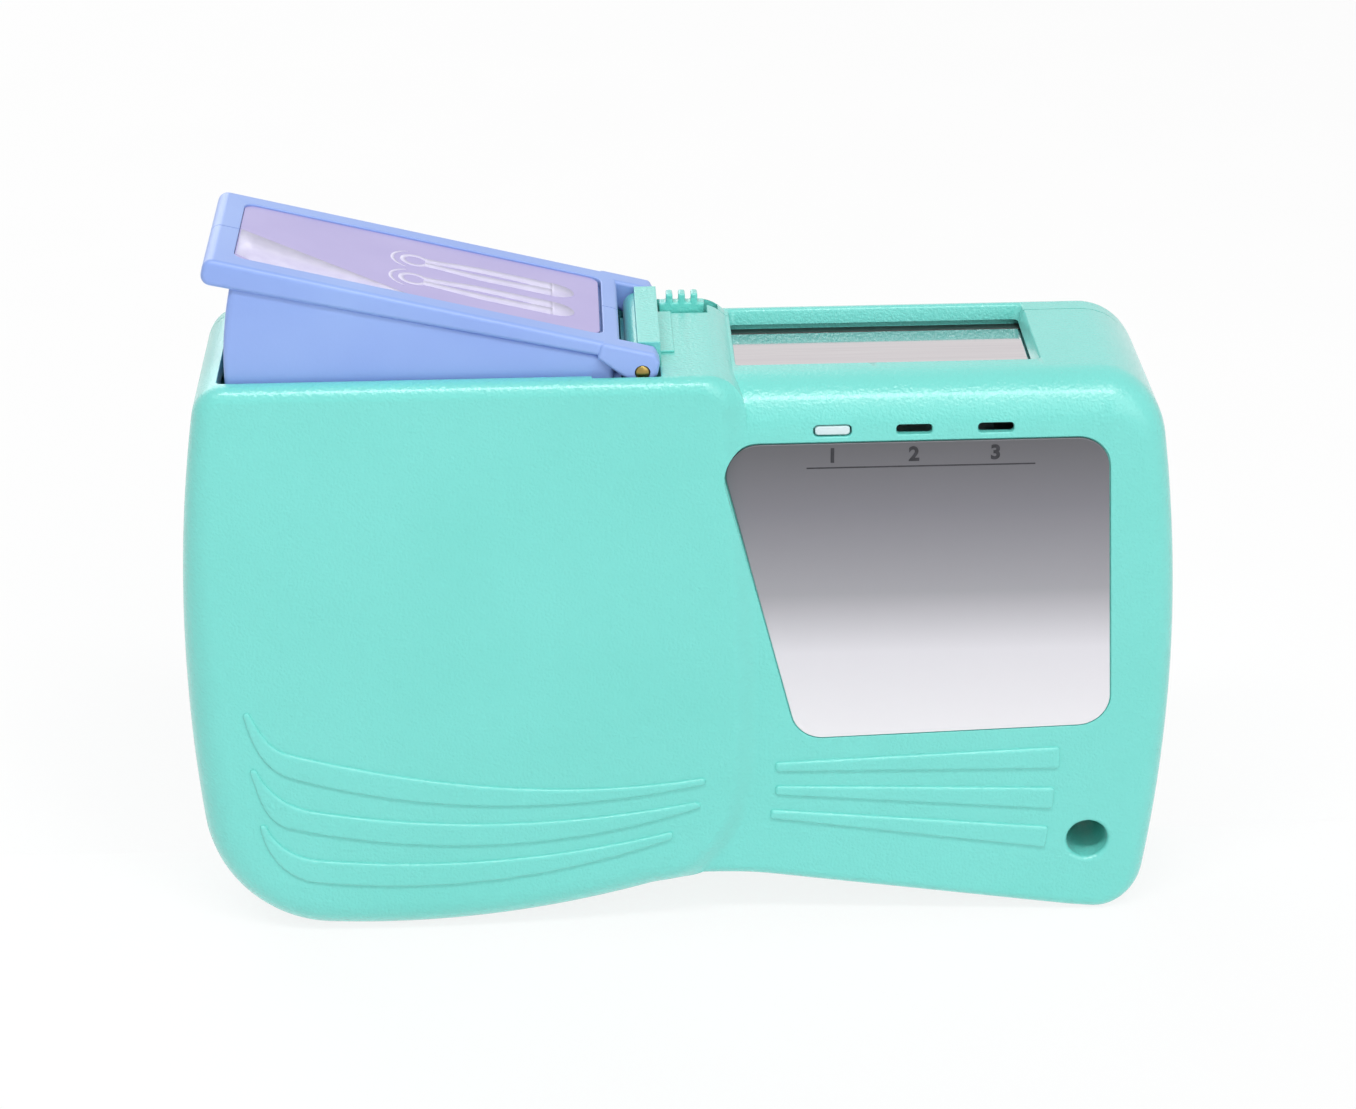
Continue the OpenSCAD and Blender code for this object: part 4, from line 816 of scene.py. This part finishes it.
def return_spring():
    """Five turns of round wire about the pin: a helix along Y. At each point of it the section is a
    circle in the plane square to the wire's heading."""
    turns, pitch, coil_r, wire_r = 5, 1.0, PIN_R + 0.45, 0.2
    a = np.linspace(0, 2 * math.pi * turns, 180)
    out = np.stack([np.cos(a), 0 * a, np.sin(a)], 1)
    along = (a / (2 * math.pi) - turns / 2) * pitch
    path = coil_r * out + np.stack([0 * a + PIN[0], along, 0 * a + PIN[1]], 1)
    ahead = unit(np.gradient(path, axis=0))
    side = unit(np.cross(ahead, out))
    up = np.cross(side, ahead)
    t = np.linspace(0, 2 * math.pi, 10, endpoint=False)[None, :, None]
    section = np.cos(t) * side[:, None] + np.sin(t) * up[:, None]
    return loft("return_spring_wire", path[:, None] + wire_r * section)


def pin_rod():
    """The hinge pin: a lathe profile with a chamfer at both ends."""
    half = [(0.0, EAR_OUT), (PIN_R - 0.2, EAR_OUT), (PIN_R, EAR_OUT - 0.25)]
    return lathe("hinge_pin_rod", np.array(half + [(r, -y) for r, y in half[::-1]]), PIN, 32)


def wiping_plate():
    """The steel plate under the window with its two keyholes: each a round eye and a straight slot
    as wide as a ferrule, whose upper rims are rounded."""
    (x0, y0, z0), (x1, y1, z1) = in_mm(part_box("wiping_plate"))
    plate = thin_plate("wiping_sheet", rectangle(x0, x1, y0, y1, 0.6), z0, z1, 0.06)
    x = WINDOW[0] + KEY_FROM
    keys = []
    for y in KEY_Y:
        for shape in (circle((x, y), KEY_EYE_R, 48), capsule((x, y), (x + KEY_L, y), KEY_W / 2)):
            keys.append(cutter("keyhole", shape, z0 - 1, z1, 0.12, 1.0, 3, flat=True))
    return finish_mesh(solve(plate, keys))


def gap_shade_flange():
    """The guide's flange behind the shutter, which closes the gap to the back wall: a flat bar, black so that
    it stands as painted shade in that gap.
    """
    (x0, x1), top = WINDOW[:2], in_mm(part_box("shutter_guide"))[1, 2] - 0.1
    far = (x1 + 1.2, BULGE_BACK - WALL - 0.6, top)
    return finish_mesh(box_piece("gap_shade_flange", (x0 - 0.4, 8.95, top - 1.0), far, 0.15))


def screws():
    """Four pan-head screws: a domed lathe profile, a cross cut into each head, and a plain shank."""
    tip, head = in_mm(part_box("chassis_screws"))[:, 1]
    seat = head - HEAD_T
    a = np.linspace(0, math.pi / 2, 7)
    dome = np.stack([HEAD_R * np.sin(a), seat + 0.25 + 0.64 * np.cos(a)], 1)
    dome[0] = (0, head)
    shank = [(HEAD_R, seat), (SHANK_R, seat), (SHANK_R, tip + 0.8), (0.3, tip), (0, tip)]
    made = []
    for i, c in enumerate(SCREWS):
        turn = 0.4 + 1.1 * i
        arms = []
        for t in (turn, turn + math.pi / 2):
            d, o = toward(t) * CROSS_L, toward(t + math.pi / 2) * CROSS_W
            arm = np.array([c - d + o, c + d + o, c + d - o, c - d - o])
            arms.append(soft_slab("arm", arm, seat + 0.3, head + 1, 0.01))
        made.append(solve(lathe("screw", np.concatenate([dome, shank]), c, 32), arms))
    return finish_mesh(join("chassis_screw_set", made))


# Tape

FLANGE_R, HUB_R = CASE_R - 1.2 - 1.1, 6.0
SUPPLY_R, TAKEUP_R = 0.74 * FLANGE_R, 0.57 * FLANGE_R
ROLL_Y = tuple(in_mm(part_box("supply_roll"))[:, 1])
TAPE_W = (ROLL_Y[1] - ROLL_Y[0]) * 0.995
GUIDES, GUIDE_R, TAPE_T = [placed((0.0077, 0.91)), placed((0.785, 0.91))], 2.0, 0.25
LAYER_T, LAYER_STEP, TURN_DRIFT = 0.55, (0.02, 0.22), 0.16
GROOVE_GAP, GROOVE_D, PAD_EDGE = 2.4, 0.12, 0.5


def wound_roll(name, centre, radius, seed):
    """Wound tape: a closed lathe profile whose two end faces step in and out a little from layer to
    layer. Over the turn its outside falls by TURN_DRIFT, which leaves a step at the tape's end."""
    rng = np.random.default_rng(seed)
    layers = int((radius - HUB_R) / LAYER_T)
    r = np.repeat(np.linspace(HUB_R + 0.05, radius - 0.25, layers + 1), 2)[1:-1]
    ins = np.repeat(rng.uniform(*LAYER_STEP, layers), 2)
    y0, y1 = ROLL_Y
    outer = [(radius, y0 + 0.25), (radius, y1 - 0.25)]
    profile = np.array([*zip(r, y0 + ins), *outer, *zip(r[::-1], y1 - ins[::-1]), (r[0], y0 + ins[0])])
    drift = TURN_DRIFT * (profile[:, :1] - HUB_R) / (radius - HUB_R)
    return finish_mesh(lathe(name, profile, centre, 120, drift), 40)


def touch_angle(c1, r1, c2, r2):
    """Direction from both centres of the outer line that touches two circles, on its left side."""
    d = np.subtract(c2, c1)
    return math.atan2(d[1], d[0]) - math.acos((r1 - r2) / np.hypot(*d))


def tape_path():
    """The tape's middle line from the supply roll over both guide pins to the take-up roll: arcs
    about them, and the straight lines that touch two of them, with a short lap on each roll."""
    lap, up = math.radians(20), math.pi / 2
    pin_r, supply_r, takeup_r = TAPE_T / 2 + np.array([GUIDE_R + 0.05, SUPPLY_R + 0.3, TAKEUP_R + 0.3])
    s = touch_angle(SUPPLY, supply_r, GUIDES[1], pin_r)
    t = touch_angle(GUIDES[0], pin_r, TAKEUP, takeup_r) + 2 * math.pi
    return np.concatenate([arc(SUPPLY, supply_r, s - lap, s, 8), arc(GUIDES[1], pin_r, s, up, 12),
                           arc(GUIDES[0], pin_r, up, t, 10), arc(TAKEUP, takeup_r, t, t + lap, 8)])


def tape_strip():
    """The tape between the reels: an oval section with soft edges, carried along the tape's way."""
    path = tape_path()
    far = travelled(path)
    line = resampled(path, far, np.linspace(0, far[-1], 220))
    ahead = unit(np.gradient(line, axis=0))
    up = np.stack([-ahead[:, 1], ahead[:, 0]], 1)
    v = np.linspace(-1, 1, 13)
    y = (sum(ROLL_Y) + TAPE_W * v) / 2
    thick = TAPE_T / 2 * np.maximum(1 - np.abs(v) ** 12, 0.35) * 0.98
    section = np.concatenate([np.stack([y, thick], 1), np.stack([y[::-1], -thick[::-1]], 1)])
    place = line[:, None] + up[:, None] * section[None, :, 1:2]
    points = np.stack([place[..., 0], np.broadcast_to(section[:, 0], place.shape[:2]), place[..., 1]], -1)
    return finish_mesh(loft("tape_strip", points), 60), far[-1]


def pad_block():
    """The rubber pad under the tape: a block with soft edges and a row of fine grooves across it,
    each the tip of a cosine."""
    (x0, y0, z0), (x1, y1, z1) = in_mm(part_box("backing_pad"))
    x = np.linspace(x0, x1, 240)
    edge = np.minimum(np.minimum(x - x0, x1 - x), PAD_EDGE)
    crown = np.sqrt(np.maximum(PAD_EDGE ** 2 - (PAD_EDGE - edge) ** 2, 0))
    groove = GROOVE_D * np.clip(np.cos(x * 2 * math.pi / GROOVE_GAP) * 4 - 3, 0, 1)
    side = np.concatenate([np.stack([x, z1 - PAD_EDGE + crown - groove], 1), [[x1, z0], [x0, z0]]])
    return finish_mesh(soft_slab("pad_block", side, y0, y1, 0.3), 40)


# Materials

def linear(hex_colour):
    """sRGB hex to linear red, green, blue and alpha: c / 12.92 in the toe, a power of 2.4 above it."""
    c = np.array([int(hex_colour[i:i + 2], 16) for i in (1, 3, 5)]) / 255
    return (*np.where(c <= 0.04045, c / 12.92, ((c + 0.055) / 1.055) ** 2.4).tolist(), 1.0)


def add(tree, kind, inputs=None, **settings):
    """Adds one node: settings are its own fields, inputs are constants or sockets of other nodes."""
    new = tree.nodes.new("ShaderNode" + kind)
    for key, value in settings.items():
        setattr(new, key, value)
    for key, value in (inputs or {}).items():
        if isinstance(value, bpy.types.NodeSocket):
            tree.links.new(value, new.inputs[key])
        else:
            new.inputs[key].default_value = value
    return new


def begin(name, shader_values):
    """A new material: itself, its tree, and the object's own coordinates. The values are the same
    all over, and stand on the shader's sockets."""
    made = bpy.data.materials.new(name)
    made.use_nodes = True
    tree = made.node_tree
    for key, value in shader_values.items():
        tree.nodes["Principled BSDF"].inputs[key].default_value = value
    return made, tree, add(tree, "TexCoord").outputs["Object"]


def per_mm(size):
    """Texture scale at which one cell is that many millimetres."""
    return 1 / (size * MM)


def surface(made, tint, low, high, grain=None, depth_mm=0.0, strength=1.0, span=(0.3, 0.7), between=()):
    """Ends a material: its colour runs between two hex tones over the part of its range that the
    tint fills, and a grain stands as a fine relief, its depth in millimetres."""
    tree = made.node_tree
    shader = tree.nodes["Principled BSDF"]
    ramp = add(tree, "ValToRGB", {"Fac": tint})
    for stop, at, tone in zip(ramp.color_ramp.elements, span, (low, high)):
        stop.position, stop.color = at, linear(tone)
    for at, tone in between:
        ramp.color_ramp.elements.new(at).color = linear(tone)
    tree.links.new(ramp.outputs["Color"], shader.inputs["Base Color"])
    if grain:
        bump = add(tree, "Bump", {"Height": grain, "Distance": depth_mm * MM, "Strength": strength})
        tree.links.new(bump.outputs["Normal"], shader.inputs["Normal"])
    return made


def clouded(name, shader_values, cloud, low, high, depth_mm, strength=1.0, grit=None, warp=0.0, stretch=None):
    """A material of one soft pattern that tints it and stands as its relief, or of a cloudy tint
    and a finer grit as the relief. Cloud and grit are the pattern's size in mm and its detail."""
    made, tree, place = begin(name, shader_values)
    if stretch:
        place = add(tree, "Mapping", {"Vector": place, "Scale": stretch}).outputs["Vector"]
    patterns = []
    for size, detail in (cloud, grit) if grit else (cloud,):
        inputs = {"Vector": place, "Scale": per_mm(size), "Detail": detail, "Distortion": warp}
        patterns.append(add(tree, "TexNoise", inputs).outputs["Fac"])
    return surface(made, patterns[0], low, high, patterns[-1], depth_mm, strength)


def casing_abs():
    """Turquoise ABS from a spark-eroded mould: an even fine grain that scatters the light, and a
    faint cloudiness of the tint. The real grain is about 0.2 mm; it is drawn at 0.4 mm to show."""
    glossy = {"Roughness": 0.27, "IOR": 1.53, "Sheen Weight": 0.16, "Sheen Roughness": 0.35,
              "Coat Weight": 0.4, "Coat Roughness": 0.2}
    return clouded("turquoise_abs_eroded", glossy, (26, 3.0), "#71d6cc", "#75d9d0", 0.12, 0.9, (0.4, 1.0))


def lever_abs():
    """Periwinkle ABS from a satin mould: a shallower grain than the casing's, and a faint
    cloudiness of the tint."""
    satin = {"Roughness": 0.36, "IOR": 1.53}
    return clouded("periwinkle_abs_satin", satin, (18, 3.0), "#8ca8e8", "#94b1ec", 0.03, 0.35, (0.4, 2.0))


def label_vinyl():
    """Printed vinyl film: lilac ink with a very fine dot screen of 0.5 mm under a satin top coat."""
    made, tree, place = begin("lilac_vinyl_film", {
        "Roughness": 0.3, "IOR": 1.5, "Coat Weight": 0.15, "Coat Roughness": 0.22})
    ink = add(tree, "TexNoise", {"Vector": place, "Scale": per_mm(12), "Detail": 4.0})
    dots = add(tree, "TexVoronoi", {"Vector": place, "Scale": per_mm(0.5), "Randomness": 0.15})
    return surface(made, ink.outputs["Fac"], "#aba1d6", "#b3a9db", dots.outputs["Distance"], 0.01, 0.3)


def label_ink():
    """Pale opaque ink screen-printed on the film: slightly mottled where it lies thin."""
    opaque = {"Roughness": 0.42, "IOR": 1.5}
    return clouded("pale_screen_ink", opaque, (2.2, 5.0), "#d2cdea", "#dcd8f1", 0.01, 0.3)


def plate_aluminium():
    """Satin anodised aluminium whose colour runs from grey at the top to near white below.
    Rolling leaves fine upright lines, about 0.05 mm apart, drawn at 0.25 mm."""
    made, tree, place = begin("anodised_aluminium_shaded", {"Roughness": 0.4, "Metallic": 0.55})
    height = add(tree, "SeparateXYZ", {"Vector": place}).outputs["Z"]
    share = add(tree, "MapRange", {"Value": height, "From Min": 27.5 * MM, "From Max": 70.3 * MM})
    lines = add(tree, "Mapping", {"Vector": place, "Scale": (1.0, 1.0, 0.02)}).outputs["Vector"]
    grain = add(tree, "TexNoise", {"Vector": lines, "Scale": per_mm(0.25), "Detail": 3.0}).outputs["Fac"]
    return surface(made, share.outputs["Result"], "#eeecf0", "#66666a", grain, 0.012, 0.35, (0.0, 1.0),
                   ((0.3, "#dfdde3"), (0.5, "#a5a4aa"), (0.78, "#828188")))


def print_and_shade_ink():
    """Near-black pad-printing ink, matt, with tiny thin spots; the sheet under the label wears it as painted
    shade.
    """
    return clouded("grey_pad_ink_and_shade", {"Roughness": 0.6}, (0.6, 3.0), "#232328", "#33333a", 0.01)


def indicator_styrene():
    """Pale satin polystyrene: its tint clouds a little, as if it were faintly see-through."""
    satin = {"Roughness": 0.34, "IOR": 1.59}
    return clouded("pale_polystyrene", satin, (5, 2.0), "#d0e2e6", "#dcebec", 0.02, 0.3)


def polished_stainless():
    """Mirror-polished stainless strip: near-perfect reflections, bent a little by rolling waves
    about 9 mm long, with hairlines from use along the slide."""
    made, tree, place = begin("stainless_mirror", {"Roughness": 0.07, "Metallic": 1.0})
    hair = add(tree, "Mapping", {"Vector": place, "Scale": (0.02, 1.0, 1.0)}).outputs["Vector"]
    lines = add(tree, "TexNoise", {"Vector": hair, "Scale": per_mm(0.35), "Detail": 3.0})
    wave = add(tree, "TexNoise", {"Vector": place, "Scale": per_mm(9), "Detail": 0.0})
    return surface(made, lines.outputs["Fac"], "#cbc5c8", "#d2cdcf", wave.outputs["Fac"], 0.05, 0.3)


def turned_brass():
    """Turned brass rod: rings of tool marks along it and a warm, slightly dulled colour."""
    made, tree, place = begin("turned_brass", {"Roughness": 0.3, "Metallic": 1.0})
    marks = {"Vector": place, "Scale": per_mm(0.4) / 6.28, "Distortion": 0.6}
    rings = add(tree, "TexWave", marks, bands_direction="Y").outputs["Fac"]
    return surface(made, rings, "#a08b4f", "#b9a566", rings, 0.01, 0.5)


def drawn_steel():
    """Zinc-plated steel wire, pins and screws: bright grey with a milky bloom in patches."""
    bright = {"Roughness": 0.32, "Metallic": 1.0}
    return clouded("zinc_plated_steel", bright, (1.6, 5.0), "#8f9294", "#b4b7b8", 0.01, 0.4)


def stamped_steel():
    """Stamped sheet steel with a dull passivated skin: rolling streaks along the sheet."""
    dull = {"Roughness": 0.46, "Metallic": 1.0}
    return clouded("passivated_sheet_steel", dull, (0.8, 4.0), "#757c7a", "#939a97", 0.02, 0.5,
                   stretch=(0.08, 1.0, 1.0))


def black_acetal():
    """Black acetal with a soft waxy sheen and faint flow marks."""
    waxy = {"Roughness": 0.38, "IOR": 1.48}
    return clouded("black_acetal", waxy, (4, 4.0), "#101614", "#1d2422", 0.02, 0.4, warp=1.2)


def white_acetal():
    """Natural acetal, as gears and reels are moulded of: warm white and waxy, with faint flow marks."""
    waxy = {"Roughness": 0.34, "IOR": 1.48}
    return clouded("natural_acetal", waxy, (6, 3.0), "#e4e1d6", "#f0eee6", 0.02, 0.35, warp=0.8)


def cartridge_styrene():
    """Cool grey polystyrene of the cartridge: satin, with a fine moulded grain of 0.5 mm."""
    satin = {"Roughness": 0.4, "IOR": 1.59}
    return clouded("grey_polystyrene", satin, (15, 3.0), "#ccd6d8", "#d8e1e2", 0.03, 0.4, (0.5, 2.0))


def woven_tape():
    """Woven microfibre tape: a plain weave of threads 0.12 mm apart, drawn at 0.5 mm, that crosses
    along the tape and across it, with a soft sheen at a slant."""
    made, tree, place = begin("microfibre_weave", {"Roughness": 0.8, "Sheen Weight": 0.3})
    threads = {"Vector": place, "Scale": per_mm(0.5) / 6.28, "Distortion": 0.4}
    along, cross = (add(tree, "TexWave", threads, bands_direction=way) for way in ("Y", "DIAGONAL"))
    weave = add(tree, "Math", {0: along.outputs["Fac"], 1: cross.outputs["Fac"]}, operation="MULTIPLY")
    weave = weave.outputs["Value"]
    return surface(made, weave, "#dcd8cf", "#f3f0ea", weave, 0.05, 0.6, (0.1, 0.8))


def nitrile_rubber():
    """Dark nitrile rubber: matt, with the fine pits of a moulded sponge skin, 0.6 mm apart."""
    made, tree, place = begin("nitrile_rubber", {"Roughness": 0.72, "IOR": 1.52})
    pits = add(tree, "TexVoronoi", {"Vector": place, "Scale": per_mm(0.6)}).outputs["Distance"]
    return surface(made, pits, "#2b3442", "#3c4658", pits, 0.05, 0.5, (0.0, 0.6))


def spring_bronze():
    """Phosphor bronze leaf with a felt pad's dust on it: warm and slightly tarnished."""
    warm = {"Roughness": 0.38, "Metallic": 1.0}
    return clouded("phosphor_bronze", warm, (1.2, 5.0), "#8d6c46", "#b08f5a", 0.01, 0.4)


# Assembly

def dress(piece, body, slot, material, *nodes):
    """Gives a new piece its material and body, and hides the CAD nodes that it stands for. Its record slot is
    not used.
    """
    piece.data.materials.clear()
    piece.data.materials.append(material)
    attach(piece, body)
    if nodes:
        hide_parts(*nodes)
    return piece


CASING, LEVER = casing_abs(), lever_abs()
FILM, INK, PLATE_METAL, PRINT_AND_SHADE = label_vinyl(), label_ink(), plate_aluminium(), print_and_shade_ink()
MIRROR, BRASS, ZINC, SHEET = polished_stainless(), turned_brass(), drawn_steel(), stamped_steel()
BLACK, WHITE, GREY, PALE = black_acetal(), white_acetal(), cartridge_styrene(), indicator_styrene()
WEAVE, RUBBER, BRONZE = woven_tape(), nitrile_rubber(), spring_bronze()

dress(front_shell(), "root", "shell_plastic", CASING, "front_shell")
dress(rear_cover(), "rear_cover", "shell_plastic", CASING, "rear_cover")
dress(name_plate(), "root", "plate_metal", PLATE_METAL, "name_plate")
# The numbers are print; the same near-black also paints the shade of the label's joint below
dress(numbers(), "root", "plate_metal", PRINT_AND_SHADE)
dress(indicator(), "root", "indicator_plastic", PALE, "type_indicator")
whole = whole_lever()
front_half = solve(lever_half(whole, -1), [drive_leg()], "UNION")
dress(finish_mesh(front_half), "lever", "lever_plastic", LEVER, "lever_front_half")
dress(finish_mesh(lever_half(whole, 1)), "lever", "lever_plastic", LEVER, "lever_rear_half")
bpy.data.objects.remove(whole)
dress(label_film(), "lever", "label_film", FILM, "lever_label")
# A near-black sheet under the label, whose edge is painted shade in the joint round it
dress(label_shade_sheet(), "lever", "label_film", PRINT_AND_SHADE)
dress(label_marks(), "lever", "label_film", INK)
dress(pin_rod(), "root", "pin_brass", BRASS, "hinge_pin")
dress(return_spring(), "root", "spring_steel", ZINC, "return_spring")
dress(wound_roll("supply_wound", SUPPLY, SUPPLY_R, 3), "supply", "tape_cloth", WEAVE, "supply_roll")
dress(wound_roll("takeup_wound", TAKEUP, TAKEUP_R, 8), "takeup", "tape_cloth", WEAVE, "takeup_roll")
strip, strip_l = tape_strip()
dress(strip, "root", "tape_cloth", WEAVE, "tape_run")
pad = dress(pad_block(), "root", "pad_rubber", RUBBER, "backing_pad")
# A black bar that closes the gap behind the shutter and paints the shade there
dress(gap_shade_flange(), "root", "guide_plastic", BLACK)
dress(wiping_plate(), "root", "stainless", SHEET, "wiping_plate")
dress(screws(), "root", "screw_steel", ZINC, "chassis_screws")

# Nodes whose own form shows, with the width and steps of their eased edges
EASED = [("hinge_block", 0.45, 4, CASING), ("latch_slider", 0.3, 4, CASING), ("shutter", 0.08, 2, MIRROR),
         ("shutter_guide", 0.15, 2, BLACK), ("chassis_plate", 0.15, 2, SHEET), ("drive_crank", 0.2, 2, WHITE),
         ("crank_pin", 0.15, 2, ZINC), ("pawl_pivot", 0.15, 2, ZINC), ("shutter_pin", 0.15, 2, ZINC),
         ("drive_pawl", 0.15, 2, BRONZE), ("ratchet_wheel", 0.12, 2, WHITE), ("takeup_reel", 0.15, 2, WHITE),
         ("supply_reel", 0.15, 2, WHITE), ("takeup_brake", 0.05, 1, BRONZE),
         ("supply_brake", 0.05, 1, BRONZE), ("cartridge_case", 0.25, 2, GREY),
         ("cartridge_lid", 0.25, 2, GREY), ("guide_pins", 0.2, 2, ZINC), ("pad_carrier", 0.2, 2, GREY),
         ("reel_circlip", 0.06, 1, ZINC)]
SLOT_OF = {p["node"]: p["material_slot"] for p in frame["record"]["subparts"]}
BODY_OF = {n: b for b, names in frame["record"]["behaviour"]["bodies"].items() for n in names}
for node_name, width, segments, material in EASED:
    dress(softened(node_name, width, segments), BODY_OF[node_name], SLOT_OF[node_name], material, node_name)


# Stage, light and camera

# The photo's camera, fitted to the casing's outline: its direction and roll in degrees, its place,
# and its focal length and the photo's width in pixels
VIEW_AROUND, VIEW_ABOVE, VIEW_ROLL = -1.8923, 25.0404, 0.5158
VIEW_PLACE, VIEW_FOCAL, PHOTO_W = (-13.862, -423.072, 246.219), 3495.4, 1356
# The floor's dip: how deep, its half width and limits along Y, and the widths of its smooth steps
FLOOR_DIP, DIP_HALF, DIP_FROM, DIP_TO = 5.0, 100, 8.6, 110
DIP_SIDE, DIP_NEAR, DIP_FAR = 28, 2.9, 80


def photo_camera():
    """A camera at the photo's place that looks the photo's way."""
    around, above, roll = (math.radians(a) for a in (VIEW_AROUND, VIEW_ABOVE, VIEW_ROLL))
    flat = math.cos(above)
    back = Vector((math.sin(around) * flat, -math.cos(around) * flat, math.sin(above)))
    right = (-back).cross(Vector((0, 0, 1))).normalized()
    up = right.cross(-back)
    x, y = math.cos(roll) * right - math.sin(roll) * up, math.sin(roll) * right + math.cos(roll) * up
    data = bpy.data.cameras.new("photo_camera")
    data.sensor_width, data.lens = 36.0, 36.0 * VIEW_FOCAL / PHOTO_W
    data.clip_start, data.clip_end = 0.01, 20.0
    camera = new_object("photo_camera", data)
    turn = Matrix((x, y, back)).transposed().to_4x4()
    camera.matrix_world = Matrix.Translation(Vector(VIEW_PLACE) * MM) @ turn
    bpy.context.scene.camera = camera


def seen(tree):
    """1 for what the camera sees directly, by gloss or through glass, and 0 for light on surfaces."""
    path = add(tree, "LightPath").outputs
    most = path["Is Camera Ray"]
    for kind in ("Is Glossy Ray", "Is Transmission Ray"):
        most = add(tree, "Math", {0: most, 1: path[kind]}, operation="MAXIMUM").outputs["Value"]
    return most


def world_light():
    """A white surround for what sees it directly or by gloss, and a softer one that lights."""
    world = bpy.data.worlds.new("studio")
    world.use_nodes = True
    tree = world.node_tree
    soft = tree.nodes["Background"]
    soft.inputs["Color"].default_value, soft.inputs["Strength"].default_value = linear("#ffffff"), 0.38
    white = add(tree, "Background", {"Color": (1, 1, 1, 1), "Strength": 1.0})
    mix = add(tree, "MixShader", {0: seen(tree), 1: soft.outputs[0], 2: white.outputs[0]})
    tree.links.new(mix.outputs[0], tree.nodes["World Output"].inputs["Surface"])
    bpy.context.scene.world = world


def floor():
    """A pale matt sheet at the casing's lowest line, large enough to fill every view. Behind the
    casing it dips by smooth steps, so that the back cover can tip down past its foot."""
    bank = np.linspace(DIP_HALF - DIP_SIDE, DIP_HALF, 15)
    near = np.linspace(DIP_FROM, DIP_FROM + DIP_NEAR, 12)
    far = np.linspace(DIP_TO - DIP_FAR, DIP_TO, 20)
    x = np.r_[-3000, -600, -bank[::-1], np.linspace(-60, 60, 7), bank, 600, 3000]
    y = np.r_[-3000, -600, -60, 0, near, 18, 24, far, 600, 3000]
    x, y = np.meshgrid(x, y, indexing="ij")
    dip = smooth((DIP_HALF - np.abs(x)) / DIP_SIDE) * smooth((y - DIP_FROM) / DIP_NEAR)
    points = np.stack([x, y, -0.05 - FLOOR_DIP * dip * smooth((DIP_TO - y) / DIP_FAR)], -1)
    sheet = mesh_piece("floor_sheet", points, [f[::-1] for f in grid_faces(*x.shape, False)])
    made, tree, place = begin("pale_matt_floor", {"Roughness": 0.9})
    speck = add(tree, "TexNoise", {"Vector": place, "Scale": per_mm(40), "Detail": 2.0}).outputs["Fac"]
    surface(made, speck, "#fafafa", "#fefefe")
    glow = add(tree, "Emission", {"Color": (1, 1, 1, 1), "Strength": 1.0})
    share = add(tree, "Math", {0: seen(tree), 1: 0.85}, operation="MULTIPLY").outputs["Value"]
    mix = add(tree, "MixShader", {0: share, 1: tree.nodes["Principled BSDF"].outputs[0], 2: glow.outputs[0]})
    tree.links.new(mix.outputs[0], tree.nodes["Material Output"].inputs["Surface"])
    sheet.data.materials.append(made)


def lamp(name, size, power, place):
    """A rectangular area lamp at a place, turned to the casing's middle."""
    data = bpy.data.lights.new(name, "AREA")
    data.shape, data.energy = "RECTANGLE", power
    data.size, data.size_y = size[0] * MM, size[1] * MM
    ahead = (Vector((0, 0, 40)) - Vector(place)).to_track_quat("-Z", "Y").to_matrix().to_4x4()
    new_object(name, data).matrix_world = Matrix.Translation(Vector(place) * MM) @ ahead


photo_camera()
world_light()
floor()
lamp("top_strip", (800, 110), 4.7, (-50, -440, 860))
lamp("front_softbox", (900, 900), 3.4, (560, -840, 560))
lamp("back_softbox", (900, 900), 4.2, (-450, 900, 600))
bpy.context.scene.view_settings.view_transform = "Standard"
